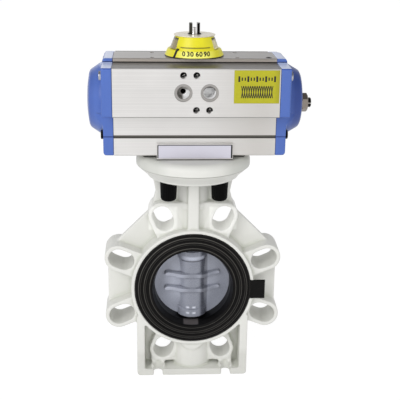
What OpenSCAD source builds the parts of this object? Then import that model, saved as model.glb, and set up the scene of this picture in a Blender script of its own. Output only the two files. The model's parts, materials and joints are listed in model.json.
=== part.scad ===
// Spring-return rack-and-pinion actuator on a lugged butterfly valve.
// Millimetres, +Z up. The origin is the centre of the valve's flow passage, which runs along Y.
// The stem, the pinion and the indicator turn about Z; the pistons slide along X.

/* [Valve] */
// Length of the valve between its two sealing faces
valve_len = 49; // [44:1:60]
// Radius of the flow passage through the liner
bore_r = 38.5; // [30:0.5:42]
// How far the liner's mouths flare out past the flow passage
mouth_flare = 2.2; // [0.5:0.1:2.4]
// Radius of the seat that the liner is moulded round
seat_r = 46; // [44:0.5:52]
// Outside radius of the liner's face flanges
liner_r = 58.5; // [54:0.5:62]
// Depth of each liner face flange
liner_flange_t = 6; // [4:0.5:9]
// Thickness of the body rim round the liner
rim_wall = 3.5; // [3:0.5:6]
// Width of a flange bolt slot
slot_w = 19; // [14:0.5:22]
// Radius of the circle through the slots' inner ends
slot_r_in = 73.8; // [73:0.2:78]
// Radius of the circle through the slots' outer ends
slot_r_out = 81; // [79:0.5:90]
// The same radius for the two slots above the foot
foot_slot_r_out = 78.8; // [76:0.2:81]
// Wall of a lug round its slot
lug_wall = 4; // [3:0.5:6]
// Length along the flow of the two lugs above the foot
foot_lug_len = 25; // [16:1:26]
// Length along the flow of the two lugs beside the neck
upper_lug_len = 30; // [16:1:36]
// Length along the flow of the four lugs at the sides
side_lug_len = 36; // [16:1:44]
// Distance from the centre to the flat edges of the web between the lugs
web_reach = 85.5; // [80:0.5:92]
// Thickness of that web
web_t = 6; // [4:0.5:10]

/* [Foot] */
// Width of the foot
foot_w = 113; // [100:1:130]
// Height of the valve centre above the ground
foot_h = 97; // [92:1:120]
// Thickness of the foot's side walls
foot_wall = 8; // [6:0.5:12]
// Thickness of the foot's bottom plate
foot_plate = 7; // [5:0.5:9]
// Distance between the two rows of foot slots
foot_slot_pitch = 70; // [60:1:80]
// Width of a foot slot
foot_slot_w = 9; // [6:0.5:10]
// Depth of a foot slot from the plate's edge
foot_slot_depth = 13; // [10:0.5:15]

/* [Neck and flanges] */
// Radius of the neck column
neck_r = 16; // [15:0.5:20]
// Width of the neck's front and rear ribs
neck_rib_w = 11; // [8:0.5:16]
// Height of the valve flange's underside above the centre
flange_z = 114; // [108:0.5:118]
// Thickness of the valve's top flange
flange_t = 11.5; // [10:0.5:16]
// Radius of the adapter plate
adapter_r = 56; // [52:0.5:62]
// Thickness of the adapter plate
adapter_t = 11.5; // [8:0.5:16]
// Pitch circle diameter of the flange bolts
flange_pcd = 70; // [66:1:74]
// Radius of a flange bolt
flange_bolt_r = 4; // [3:0.5:5]
// Outside radius of a bolt cap at its open end
bolt_cap_r = 8.4; // [8:0.1:9.5]
// Height of a bolt cap
bolt_cap_h = 19.5; // [14:0.5:24]

/* [Stem and disc] */
// Radius of the stem
stem_r = 9; // [7.5:0.5:9.5]
// Side of the square at the stem's top
stem_square = 14; // [12:0.5:15]
// Depth of the stem's square inside the actuator
stem_reach = 17; // [12:1:20]
// Thickness of the disc at its rim
disc_rim_t = 5; // [4:0.5:8]
// Radius of the disc's hub round the stem
hub_r = 13.5; // [12:0.5:16]

/* [Actuator body] */
// Length of the aluminium body
body_l = 153; // [140:1:180]
// Width of the body's upper section
upper_w = 102; // [92:1:120]
// Width of the body's lower section
lower_w = 60; // [58:1:80]
// Height of the lower section up to the step
lower_h = 45; // [40:0.5:50]
// Height of the upper section above the step
upper_h = 45.5; // [42:0.5:50]
// Width of the raised pad along the top
pad_w = 40; // [36:1:60]
// Height of the raised pad
pad_h = 4; // [2:0.5:6]
// Height of the cylinder's axis above the body's underside
axis_h = 53; // [50:0.5:54]
// Radius of the cylinder
cyl_r = 28; // [25:0.5:28.4]
// Length of the mounting block under the body
block_l = 72; // [66:1:84]
// Width of the mounting block
block_w = 66.4; // [62:0.2:72]
// Height of the mounting block's side faces
block_h = 16; // [14:0.5:20]
// Radius of an air port's tapping drill
port_r = 5.9; // [4:0.1:6]
// Distance between the two air ports
port_pitch = 24; // [20:0.5:28]
// Distance between the rows of holes above and below the ports
interface_rows = 32; // [28:0.5:34]
// Distance along the body between the accessory holes on the pad
pad_hole_l = 80; // [70:1:90]
// Distance across the pad between those holes
pad_hole_w = 30; // [26:1:32]

/* [End caps] */
// Thickness of a cap's flange
cap_flange = 10; // [8:0.5:14]
// Radius of a cap's dome
dome_r = 34; // [31:0.5:34.5]
// Height of the left dome above its flange
left_dome_h = 14.8; // [12:0.2:20]
// Height of the right dome above its flange
right_dome_h = 16.8; // [14:0.2:24]
// Thickness of the left dome's end wall
dome_wall = 5.8; // [4:0.2:8]
// Radius of a cap screw
cap_screw_r = 2.5; // [2:0.5:3]

/* [Drive] */
// Gear module of the pinion and the racks
gear_m = 1.5; // [1.25:0.25:1.5]
// Number of teeth on the pinion
gear_teeth = 18; // [18:2:20]
// Length of the pinion's teeth
gear_l = 20; // [14:1:24]
// Play between the meshing teeth
backlash = 0.12; // [0.08:0.02:0.2]
// Radius of the pinion's lower journal
lower_journal_r = 15; // [14:0.5:15.5]
// Radius of the pinion's upper journal
upper_journal_r = 9.5; // [8:0.5:11]
// Side of the square socket in the pinion
socket_square = 17; // [16:0.5:18]
// Height of the pinion's top above the pad
shaft_rise = 30.5; // [26:0.5:36]
// Radius of the slotted shaft at the pinion's top
shaft_r = 5.2; // [4.5:0.1:6]
// Thickness of a piston's head
piston_t = 13; // [11:0.5:16]
// Wire radius of a return spring
wire_r = 1.8; // [1.4:0.1:2]
// Distance from the cylinder wall in to the mean radius of a return spring
spring_inset = 9; // [6:0.5:12]
// Number of turns of a return spring
spring_turns = 6.5; // [5:0.5:8]
// Radius of the travel stop screw
stop_r = 5; // [4:0.5:6]
// Height of the stop screw's axis below the cylinder's axis
stop_drop = 4; // [0:0.5:6]

/* [Indicator] */
// Radius of the skirt at its foot
skirt_r = 28.3; // [26:0.1:32]
// Radius of the skirt at its top
skirt_top_r = 25.3; // [24:0.1:27]
// Height of the skirt
skirt_h = 6.4; // [5:0.2:9]
// Radius of the drum at its top
drum_r = 19.2; // [18:0.1:23]
// Height of the drum above the skirt
drum_h = 12.2; // [8:0.2:14]
// Half of the angle that each yellow panel of the drum covers
panel_half = 50; // [40:1:60]
// Number of scale lines on the skirt's front
scale_lines = 9; // [5:2:13]

/* [Plates] */
// Width of the yellow spring label
label_w = 41.5; // [30:0.5:44]
// Height of the yellow spring label
label_h = 30.4; // [20:0.2:34]
// Width of the nameplate
nameplate_w = 71; // [60:1:72]
// Height of the nameplate
nameplate_h = 13; // [10:0.5:14]

/* [Fits] */
// Radial clearance of a running fit
run_gap = 0.06; // [0.03:0.01:0.08]
// Clearance between pieces that are fixed together
seat_gap = 0.04; // [0.02:0.01:0.06]

/* [Hidden] */
$fn = 96;

// Valve
body_len = valve_len - 1;
rim_r = liner_r + rim_wall;
lug_count = 8;
lug_r = slot_w / 2 + lug_wall;
lug_step = 360 / lug_count;
bead_d = 1.2;
tab_w = 20;
tab_reach = 73;
tab_t = 3;
tab_drop = 1.5;
lug_end = [slot_r_out * sin(lug_step / 2), slot_r_out * cos(lug_step / 2) + lug_r];
foot_lug_end = [foot_slot_r_out * sin(lug_step / 2), foot_slot_r_out * cos(lug_step / 2) + lug_r];
lug_block_w = 12;
block_inset = 0.8;
boss_r = 20;
foot_plate_top = -foot_h + foot_plate;
stem_bottom = -(seat_r + 28);
stem_hole_r = stem_r + 3;
foot_pad_h = 3;
disc_rib_l = 56;
disc_rib_r = 4.4;
disc_rib_z = 8.5;
key_w = 5;
key_l = 40;
stem_ring_z = [seat_r + 31, seat_r + 36];

// Neck, flanges and the joint to the actuator
flange_top = flange_z + flange_t;
base_z = flange_top + adapter_t;
flange_hub_r = 45;
wing_t = 10;
bolt_xy = flange_pcd / 2 / sqrt(2);
bolt_grip = 12;
bolt_head_h = 8;
bolt_head_r = 6.5;
pilot_r = 24;
stem_top = base_z + stem_reach;

// Actuator body
body_z = base_z + 3.5;
step_z = body_z + lower_h - 3.5;
shoulder_z = step_z + upper_h;
pad_z = shoulder_z + pad_h;
axis_z = base_z + axis_h;
cyl_floor = axis_z - cyl_r;
cyl_roof = axis_z + cyl_r;
port_z = step_z + 23;
gallery_r = 2.5;
groove_z = step_z - 23;
groove_h = 2.5;
groove_d = 1.5;
m5_r = 2.1;
port_rim = 2.4;
m5_depth = 12;
screw_upper = [upper_w / 2 - 9, shoulder_z - 8.5];
screw_lower = [lower_w / 2 - 5.5, axis_z - 30];
gallery_y = 6 - screw_upper[0];
gallery_z = screw_upper[1] - 7;
screw_points = [screw_upper, screw_lower, [-screw_upper[0], screw_upper[1]],
    [-screw_lower[0], screw_lower[1]]];
screw_depth = 16;
screw_head_h = 3.2;
screw_head_r = 4.3;
end_x = body_l / 2;
flange_x = end_x + cap_flange;
spring_r = cyl_r - spring_inset;
cap_cavity_r = spring_r + wire_r + 2;
cavity_x = flange_x + left_dome_h - dome_wall;
seal_r = 1.3;
seal_ring_r = cyl_r + 2.1;
gallery_wire_r = 1;
gallery_seal_r = gallery_r + gallery_wire_r + 0.6;
seal_depth = 1.6;

// Pinion, racks and pistons
pitch_r = gear_m * gear_teeth / 2;
gear_pitch = PI * gear_m;
gear_base_r = pitch_r * cos(20);
gear_tip_r = pitch_r + gear_m;
gear_root_r = pitch_r - 1.25 * gear_m;
stroke = pitch_r * PI / 2;
rack_root = pitch_r + 1.25 * gear_m;
rack_back = cyl_r - 3.5;
rack_h = gear_l - 2;
teeth_out = 3;
teeth_in = ceil((stroke + 0.45 * pitch_r) / gear_pitch);
rack_end = teeth_in * gear_pitch;
piston_in = rack_end + 1.2;
piston_out = piston_in + piston_t;
piston_r = cyl_r - run_gap - 0.02;
piston_ring_r = 1.7;
band_w = 4;
band_t = 1;
guide_l = 22;
gear_z = axis_z - gear_l / 2;
pinion_z = base_z + 1.5;
bush_wall = 2.5;
circlip_z = pad_z + 1.5;
shaft_top = pad_z + shaft_rise;
hub_z = pad_z + 5;
socket_depth = 20;
slot_cut_w = 4.2;
slot_cut_d = 4.6;
stop_z = axis_z - stop_drop;
stop_in = piston_out + stroke + 0.2;
boss_x = flange_x + right_dome_h;
nut_t = 6;
nut_af = 16;
washer_t = 1;
stop_end = boss_x + washer_t + nut_t + 3.5;

lower_ring_z = pinion_z + 4.5;
upper_ring_z = pad_z - 3;
plug_x = 69.5;
plug_y = -14;

// Indicator
skirt_z = pad_z + 0.4;
drum_z = skirt_z + skirt_h;
drum_top = drum_z + drum_h;
shell_t = 2;
drum_foot_r = skirt_top_r - 1.3;
plate_r = drum_r + 0.6;
plate_t = 1;
drum_groove_z = 2.6;

// Ring about Z with a rectangular section
module ring(r_in, r_out, h) {
    difference() {
        cylinder(r = r_out, h = h);
        translate([0, 0, -1])
            cylinder(r = r_in, h = h + 2);
    }
}

// Round ring of rubber about Z
module o_ring(mean_r, wire) {
    rotate_extrude()
        translate([mean_r, 0])
            circle(r = wire, $fn = 32);
}

// Turns a solid that is made about Z so that it points along +X
module along_x() {
    rotate([0, 90, 0])
        children();
}

// Turns a flat outline in X and Z into a plate that is centred on Y
module plate_xz(t) {
    translate([0, t / 2, 0])
        rotate([90, 0, 0])
            linear_extrude(t)
                children();
}

// Turns a flat outline in Y and Z into a bar that runs along +X
module bar_x(l) {
    rotate([90, 0, 90])
        linear_extrude(l)
            children();
}

// Cylinder that is centred on Y
module cyl_y(r, l) {
    rotate([90, 0, 0])
        cylinder(r = r, h = l, center = true);
}

// Slot with round ends that goes through along Y, lying along its local X
module slot_y(r, x_in, x_out, l) {
    translate([x_in, 0, 0])
        cyl_y(r, l);
    translate([x_out, 0, 0])
        cyl_y(r, l);
    translate([x_in, -l / 2, -r])
        cube([x_out - x_in, l, 2 * r]);
}

// How low lug k stands: 1 straight below the centre, -1 straight above it
function lug_low(k) = sin((k + 0.5) * lug_step);
function lug_len(k) = lug_low(k) > 0.75 ? foot_lug_len : lug_low(k) < -0.75 ? upper_lug_len : side_lug_len;
function lug_reach(k) = lug_low(k) > 0.75 ? foot_slot_r_out : slot_r_out;

module slot_pattern(r, x_in, through) {
    for (k = [0 : lug_count - 1])
        rotate([0, (k + 0.5) * lug_step, 0])
            slot_y(r, x_in, lug_reach(k), through ? valve_len + 10 : lug_len(k));
}

module each_bolt() {
    for (sx = [-1, 1])
        for (sy = [-1, 1])
            translate([sx * bolt_xy, sy * bolt_xy, 0])
                children();
}

// Valve body: seat ring, web, lugs, foot, neck and top flange in one moulding

module seat_ring() {
    difference() {
        cyl_y(rim_r, body_len);
        cyl_y(seat_r, body_len + 2);
        for (s = [-1, 1])
            translate([0, s * (valve_len / 2 - liner_flange_t / 2), 0])
                cyl_y(liner_r + seat_gap, liner_flange_t);
        translate([rim_r - 8, -valve_len / 2 - 1, -tab_w / 2 - tab_drop - seat_gap])
            cube([12, tab_t + 1 + seat_gap, tab_w + 2 * seat_gap]);
    }
}

module web() {
    corner_r = web_reach / cos(lug_step / 2);
    difference() {
        plate_xz(web_t)
            polygon([for (k = [0 : lug_count - 1])
                corner_r * [cos((k + 0.5) * lug_step), sin((k + 0.5) * lug_step)]]);
        cyl_y(rim_r - 1, web_t + 2);
        for (s = [-1, 1])
            translate([s * (foot_w / 2 + 100) - 100, -web_t, -foot_h - 10])
                cube([200, 2 * web_t, foot_h + 10 - slot_r_out * sin(lug_step / 2)]);
    }
}

module lugs() {
    difference() {
        slot_pattern(lug_r, rim_r, false);
        cyl_y(rim_r - 1, valve_len);
    }
}

module foot_box() {
    side_top = -30;
    for (s = [-1, 1])
        translate([s * (foot_w - foot_wall) / 2 - foot_wall / 2, -body_len / 2, -foot_h])
            cube([foot_wall, body_len, foot_h + side_top]);
    translate([-foot_w / 2, -body_len / 2, -foot_h])
        cube([foot_w, body_len, foot_plate]);
    translate([-foot_w / 2 + 1, -web_t / 2, -foot_h + 1])
        cube([foot_w - 2, web_t, foot_h + side_top]);
    translate([0, 0, foot_plate_top - 1])
        cylinder(r = boss_r, h = -foot_plate_top - rim_r + 8);
    translate([-foot_lug_end[0] - lug_block_w, block_inset - foot_lug_len / 2, -foot_lug_end[1]])
        cube([2 * (foot_lug_end[0] + lug_block_w), foot_lug_len - 2 * block_inset,
            foot_lug_end[1] - slot_r_in * cos(lug_step / 2)]);
    for (sx = [-1, 1])
        for (sy = [-1, 1])
            translate([sx * foot_slot_pitch / 2, sy * (body_len / 2 - foot_slot_depth + foot_slot_w / 2), 0])
                translate([0, 0, foot_plate_top - 1])
                    cylinder(r = foot_slot_w / 2 + 3, h = foot_pad_h + 1);
}

// Round lip on the lower boss, under the rim
module boss_lip() {
    translate([0, 0, 5.5 - rim_r])
        cyl_y(13, 2 * boss_r + 2.4);
}

module foot_slots() {
    for (sx = [-1, 1])
        for (sy = [-1, 1])
            translate([sx * foot_slot_pitch / 2, sy * (body_len / 2 - foot_slot_depth + foot_slot_w / 2), -foot_h - 1]) {
                cylinder(r = foot_slot_w / 2, h = foot_plate + foot_pad_h + 2);
                translate([-foot_slot_w / 2, sy > 0 ? 0 : -foot_slot_depth, 0])
                    cube([foot_slot_w, foot_slot_depth, foot_plate + foot_pad_h + 2]);
            }
}

module neck() {
    ring_z = rim_r - 6;
    bead_z = flange_z - 31.5;
    translate([0, 0, ring_z])
        cylinder(r = neck_r, h = flange_z - ring_z + 1);
    translate([0, 0, ring_z])
        cylinder(r = neck_r + 1, h = bead_z - ring_z);
    translate([0, 0, bead_z])
        cylinder(r = neck_r + 1.8, h = 5);
    translate([-neck_rib_w / 2, -neck_r - 5, ring_z])
        cube([neck_rib_w, 2 * neck_r + 10, flange_z - ring_z + 1]);
    translate([-lug_end[0], block_inset - upper_lug_len / 2, ring_z])
        cube([2 * lug_end[0], upper_lug_len - 2 * block_inset, lug_end[1] - ring_z]);
    plate_xz(wing_t)
        polygon([[-40.5, flange_z + 1], [-37, flange_z - 17], [-41, flange_z - 32], [-36, rim_r - 4],
            [36, rim_r - 4], [41, flange_z - 32], [37, flange_z - 17], [40.5, flange_z + 1]]);
}

module top_flange() {
    translate([0, 0, flange_z])
        cylinder(r = flange_hub_r, h = flange_t);
    translate([0, 0, flange_z + 2])
        cylinder(r1 = flange_hub_r, r2 = adapter_r - 0.5, h = flange_t - 2);
}

module stem_passage() {
    translate([0, 0, seat_r - 5])
        cylinder(r = stem_hole_r, h = flange_top - seat_r + 6);
    translate([0, 0, flange_z + 2])
        cylinder(r = pilot_r - 4, h = flange_t);
    translate([0, 0, stem_bottom - 2])
        cylinder(r = stem_hole_r, h = -stem_bottom - seat_r + 7);
}

module valve_body() {
    color([0.89, 0.89, 0.86])
        difference() {
            union() {
                seat_ring();
                difference() {
                    union() {
                        web();
                        lugs();
                        foot_box();
                        boss_lip();
                        neck();
                    }
                    cyl_y(rim_r - 1, valve_len + 2);
                    for (s = [0, 1])
                        mirror([s, 0, 0])
                            corner_cut(foot_w / 2, -foot_h, 3, 1);
                }
                top_flange();
            }
            slot_pattern(slot_w / 2, slot_r_in, true);
            stem_passage();
            foot_slots();
            translate([0, 0, flange_z - 2])
                each_bolt()
                    cylinder(r = flange_bolt_r + 0.5, h = flange_t + 4);
        }
}

// Rubber liner: moulded round the seat, with beads on both faces
module valve_liner() {
    half = valve_len / 2;
    in = half - liner_flange_t + seat_gap;
    groove = half - bead_d;
    mouth = bore_r + mouth_flare;
    bead = [for (i = [0:2]) mouth + 1.3 + i * (liner_r - mouth - 1.3) / 3];
    throat = half - 4 * mouth_flare;
    color([0.13, 0.13, 0.13])
        difference() {
            union() {
                rotate([90, 0, 0])
                    rotate_extrude($fn = 144)
                        polygon([
                            [mouth, -half], [bead[0] + 1, -half], [bead[0] + 1.4, -groove],
                            [bead[1] - 0.7, -groove], [bead[1] - 0.3, -half], [bead[1] + 1.7, -half],
                            [bead[1] + 2.1, -groove], [bead[2] - 0.7, -groove], [bead[2] - 0.3, -half],
                            [bead[2] + 1.7, -half], [bead[2] + 2.1, -groove], [liner_r, -groove],
                            [liner_r, -in], [seat_r - seat_gap, -in], [seat_r - seat_gap, in],
                            [liner_r, in], [liner_r, groove], [bead[2] + 2.1, groove],
                            [bead[2] + 1.7, half], [bead[2] - 0.3, half], [bead[2] - 0.7, groove],
                            [bead[1] + 2.1, groove], [bead[1] + 1.7, half], [bead[1] - 0.3, half],
                            [bead[1] - 0.7, groove], [bead[0] + 1.4, groove], [bead[0] + 1, half],
                            [mouth, half], [bore_r, throat], [bore_r, -throat]]);
                translate([liner_r - 3, -groove, -tab_w / 2 - tab_drop])
                    cube([tab_reach - liner_r + 3, tab_t - bead_d, tab_w]);
            }
            translate([0, 0, -seat_r - 5])
                cylinder(r = stem_r + run_gap, h = 2 * seat_r + 10);
        }
}

// Stem bushes, which the stem turns in
module stem_bush(z, h) {
    translate([0, 0, z])
        ring(stem_r + run_gap, stem_hole_r - seat_gap, h);
}

module lower_stem_bush() {
    color([0.85, 0.82, 0.72])
        stem_bush(stem_bottom + 1, 20);
}

module middle_stem_bush() {
    color([0.85, 0.82, 0.72])
        stem_bush(seat_r + 4, 22);
}

module upper_stem_bush() {
    color([0.85, 0.82, 0.72]) {
        stem_bush(flange_z - 22, 24);
        translate([0, 0, flange_z + 2])
            ring(stem_r + run_gap, stem_hole_r + 3, 2);
    }
}

module adapter_plate() {
    color([0.86, 0.86, 0.83])
        translate([0, 0, flange_top])
            difference() {
                union() {
                    cylinder(r = adapter_r, h = adapter_t - 1);
                    cylinder(r = adapter_r - 1, h = adapter_t);
                }
                translate([0, 0, -1])
                    cylinder(r = pilot_r - 4, h = adapter_t + 2);
                translate([0, 0, -1])
                    each_bolt()
                        cylinder(r = flange_bolt_r + 0.5, h = adapter_t + 2);
            }
}

module flange_bolts() {
    shank = flange_t + adapter_t + bolt_grip;
    color([0.62, 0.63, 0.65])
        translate([0, 0, flange_z])
            each_bolt()
                difference() {
                    union() {
                        cylinder(r = flange_bolt_r, h = shank);
                        translate([0, 0, -bolt_head_h])
                            cylinder(r = bolt_head_r, h = bolt_head_h);
                    }
                    translate([0, 0, -bolt_head_h - 1])
                        cylinder(r = 3.46, h = 5, $fn = 6);
                }
}

module bolt_caps() {
    color([0.08, 0.08, 0.08])
        translate([0, 0, flange_z])
            each_bolt()
                difference() {
                    translate([0, 0, -bolt_cap_h])
                        cylinder(r1 = bolt_cap_r - 0.8, r2 = bolt_cap_r, h = bolt_cap_h);
                    translate([0, 0, -bolt_head_h - 6])
                        cylinder(r = bolt_head_r + seat_gap, h = bolt_head_h + 7);
                }
}

// Stem: plain journals, a keyway for the disc and a square at the top
module stem() {
    ring_groove = stem_r - 0.5;
    color([0.66, 0.67, 0.69])
        difference() {
            union() {
                translate([0, 0, stem_bottom])
                    cylinder(r = stem_r, h = base_z - 1 - stem_bottom);
                intersection() {
                    translate([-stem_square / 2, -stem_square / 2, base_z - 3])
                        cube([stem_square, stem_square, stem_reach + 3]);
                    translate([0, 0, base_z - 3])
                        cylinder(r = stem_r, h = stem_reach + 3);
                }
            }
            for (z = stem_ring_z)
                translate([0, 0, z - 1.8])
                    ring(ring_groove, stem_r + 1, 3.6);
            translate([0, 0, flange_z + 4])
                ring(stem_r - 1, stem_r + 1, 1.6);
            translate([-key_w / 2, stem_r - key_w / 2, -key_l / 2])
                cube([key_w, key_w, key_l]);
        }
}

module stem_o_rings() {
    wire = (stem_hole_r - run_gap - stem_r + 0.5) / 2 - 0.01;
    color([0.1, 0.1, 0.1])
        for (z = stem_ring_z)
            translate([0, 0, z])
                o_ring(stem_r - 0.48 + wire, wire);
}

module stem_circlip() {
    color([0.35, 0.36, 0.38])
        translate([0, 0, flange_z + 4.1])
            difference() {
                ring(stem_r - 1 + 0.02, stem_r + 3, 1.4);
                translate([-2, 0, -1])
                    cube([4, stem_r + 4, 4]);
            }
}

// Disc: a lens on the stem's hub, with two cross ribs on each face
module disc() {
    color([0.58, 0.6, 0.65])
        difference() {
            intersection() {
                sphere(r = bore_r - run_gap, $fn = 128);
                union() {
                    cyl_y(bore_r + 2, disc_rim_t);
                    for (s = [-1, 1])
                        translate([0, s * disc_rim_t / 2, 0])
                            rotate([-s * 90, 0, 0])
                                cylinder(r1 = bore_r - 3.5, r2 = bore_r - 12, h = 4);
                    translate([0, 0, -bore_r])
                        cylinder(r = hub_r, h = 2 * bore_r);
                    for (s = [-1, 1])
                        translate([0, 0, s * (bore_r - 7) - 5])
                            cylinder(r = hub_r + 1.5, h = 10);
                    for (sy = [-1, 1])
                        for (sz = [-1, 1])
                            translate([-disc_rib_l / 2, sy * (hub_r - disc_rib_r), sz * disc_rib_z])
                                along_x()
                                    cylinder(r = disc_rib_r + 0.8, h = disc_rib_l);
                }
            }
            translate([0, 0, -bore_r - 1])
                cylinder(r = stem_r + seat_gap, h = 2 * bore_r + 2);
            translate([-key_w / 2 - seat_gap, stem_r - 3, -key_l / 2 - seat_gap])
                cube([key_w + 2 * seat_gap, key_w / 2 + 3 + seat_gap, key_l + 2 * seat_gap]);
        }
}

module disc_key() {
    color([0.6, 0.6, 0.62])
        translate([-key_w / 2 + seat_gap, stem_r - key_w / 2 + seat_gap, -key_l / 2 + seat_gap])
            cube([key_w - 2 * seat_gap, key_w - 2 * seat_gap, key_l - 2 * seat_gap]);
}

// Sleeve that fits the stem's square to the pinion's larger socket
module drive_insert() {
    outer = socket_square - 2 * seat_gap;
    inner = stem_square + 2 * seat_gap;
    color([0.55, 0.56, 0.58])
        translate([0, 0, pinion_z + 0.5])
            difference() {
                translate([-outer / 2, -outer / 2, 0])
                    cube([outer, outer, stem_reach - 1]);
                translate([-inner / 2, -inner / 2, -1])
                    cube([inner, inner, stem_reach + 1]);
            }
}

// Actuator body: an extrusion whose wide upper section holds the cylinder

// Outline of the body and of the cap flanges, in Y and Z
module stepped_outline() {
    upper = upper_w / 2;
    lower = lower_w / 2;
    pad = pad_w / 2;
    c = 0.8;
    polygon([
        [-lower, body_z + c], [-lower, step_z], [-upper + c, step_z], [-upper, step_z + c],
        [-upper, shoulder_z - c], [-upper + c, shoulder_z], [-pad, shoulder_z], [-pad, pad_z - c],
        [-pad + c, pad_z], [pad - c, pad_z], [pad, pad_z - c], [pad, shoulder_z],
        [upper - c, shoulder_z], [upper, shoulder_z - c], [upper, step_z + c], [upper - c, step_z],
        [lower, step_z], [lower, body_z + c], [lower - c, body_z], [-lower + c, body_z]]);
}

module air_ports() {
    front = -upper_w / 2;
    translate([-port_pitch / 2, front - 1, port_z])
        rotate([-90, 0, 0]) {
            cylinder(r = port_r, h = 10);
            cylinder(r = port_r + port_rim, h = 2.2);
            cylinder(r = gallery_r, h = upper_w / 2);
        }
    translate([port_pitch / 2, front - 1, port_z])
        rotate([-90, 0, 0]) {
            cylinder(r = port_r, h = 16);
            cylinder(r = port_r + port_rim, h = 2.2);
        }
    translate([-end_x - 1, gallery_y, gallery_z])
        along_x()
            cylinder(r = gallery_r, h = body_l + 2);
}

module interface_holes() {
    for (h = [[-port_pitch / 2, 1], [0, 1], [0, -1], [port_pitch / 2, -1]])
        translate([h[0], -upper_w / 2 - 1, port_z + h[1] * interface_rows / 2])
            rotate([-90, 0, 0])
                union() {
                    cylinder(r = m5_r, h = m5_depth + 1);
                    cylinder(r1 = m5_r + 2.1, r2 = m5_r, h = 2.1);
                }
    for (sx = [-1, 1])
        for (sy = [-1, 1])
            translate([sx * pad_hole_l / 2, sy * pad_hole_w / 2, pad_z - 8])
                cylinder(r = m5_r, h = 9);
}

module cap_screw_holes(r, depth) {
    for (s = [-1, 1])
        for (p = screw_points)
            translate([s > 0 ? end_x - depth : -end_x - 1, p[0], p[1]])
                along_x()
                    cylinder(r = r, h = depth + 1);
}

module actuator_body() {
    color([0.84, 0.84, 0.83])
        difference() {
            union() {
                translate([-end_x, 0, 0])
                    bar_x(body_l)
                        stepped_outline();
                translate([-block_l / 2, -block_w / 2, base_z])
                    cube([block_l, block_w, block_h]);
            }
            translate([-end_x - 1, 0, axis_z])
                along_x()
                    cylinder(r = cyl_r, h = body_l + 2);
            for (s = [-1, 1])
                translate([-end_x - 1, s * lower_w / 2 - groove_d, groove_z - groove_h / 2])
                    cube([body_l + 2, 2 * groove_d, groove_h]);
            translate([0, 0, base_z - 1])
                cylinder(r = lower_journal_r + bush_wall + seat_gap, h = axis_z - base_z);
            translate([0, 0, axis_z])
                cylinder(r = upper_journal_r + bush_wall + seat_gap, h = pad_z - axis_z + 1);
            translate([0, 0, base_z - 1])
                each_bolt()
                    cylinder(r = flange_bolt_r + seat_gap, h = bolt_grip + 2);
            air_ports();
            interface_holes();
            cap_screw_holes(cap_screw_r + seat_gap, screw_depth);
            translate([plug_x, plug_y, pad_z - 6])
                cylinder(r = 3 + seat_gap, h = 7);
        }
}

// Flush screw plug near the right end of the pad
module pad_plug() {
    color([0.3, 0.3, 0.32])
        translate([plug_x, plug_y, pad_z - 5])
            difference() {
                cylinder(r = 3, h = 5.2);
                translate([0, 0, 2.4])
                    cylinder(r = 1.73, h = 4, $fn = 6);
            }
}

// End caps: a flange with the body's outline and a chamfered dome over the cylinder

// Cap that points along +X, with its dome dome_h above the flange
module end_cap(dome_h, bore) {
    edge = 3;
    difference() {
        union() {
            difference() {
                translate([end_x, 0, 0])
                    bar_x(cap_flange)
                        stepped_outline();
                corner_cut(flange_x, body_z, edge, 1);
                corner_cut(flange_x, pad_z, edge, -1);
            }
            intersection() {
                translate([flange_x, 0, axis_z])
                    rotate([0, 90, 0])
                        rotate_extrude($fn = 128)
                            polygon([
                                [0, -1], [dome_r + 0.6, -1], [dome_r + 0.6, 0], [dome_r, 2.6],
                                [dome_r - 6.3, dome_h * 0.8], [dome_r - 8.5, dome_h * 0.89],
                                [dome_r * 0.45, dome_h], [0, dome_h]]);
                translate([flange_x - 1, 0, 0])
                    bar_x(dome_h + 2)
                        stepped_outline();
            }
        }
        translate([end_x - 1, 0, axis_z])
            along_x()
                cylinder(r = cap_cavity_r, h = cavity_x - end_x + 1);
        translate([end_x - 1, 0, axis_z])
            along_x()
                ring(seal_ring_r - seal_r, seal_ring_r + seal_r, seal_r * seal_depth + 1);
        translate([end_x - 1, gallery_y, gallery_z])
            along_x() {
                cylinder(r = gallery_r, h = 8);
                ring(gallery_seal_r - gallery_wire_r, gallery_seal_r + gallery_wire_r,
                    gallery_wire_r * seal_depth + 1);
            }
        translate([end_x + 5, gallery_y, gallery_z])
            gallery_bend();
        for (p = screw_points)
            translate([end_x - 1, p[0], p[1]])
                along_x() {
                    cylinder(r = cap_screw_r + 0.3, h = cap_flange + 2);
                    translate([0, 0, cap_flange])
                        cylinder(r = screw_head_r + 0.5, h = 30);
                }
        if (bore > 0)
            translate([cavity_x - 1, 0, stop_z])
                along_x()
                    cylinder(r = bore + seat_gap, h = 30);
    }
}

// Cross drilling that leads the gallery's air into the dome
module gallery_bend() {
    dy = -gallery_y;
    dz = axis_z - gallery_z;
    angle = atan2(dz, dy);
    rotate([angle - 90, 0, 0])
        cylinder(r = 2, h = norm([dy, dz]) - cap_cavity_r + 2);
}

// Rounds the edge that runs along Y at x and z; side is 1 at the bottom and -1 at the top
module corner_cut(x, z, r, side) {
    translate([x - r, 0, z + side * r])
        difference() {
            translate([0, -upper_w, side > 0 ? -2 * r : 0])
                cube([2 * r, 2 * upper_w, 2 * r]);
            cyl_y(r, 2 * upper_w + 2);
        }
}

module left_end_cap() {
    color([0.37, 0.48, 0.78])
        mirror([1, 0, 0])
            end_cap(left_dome_h, 0);
}

module right_end_cap() {
    color([0.37, 0.48, 0.78])
        end_cap(right_dome_h, stop_r);
}

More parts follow.
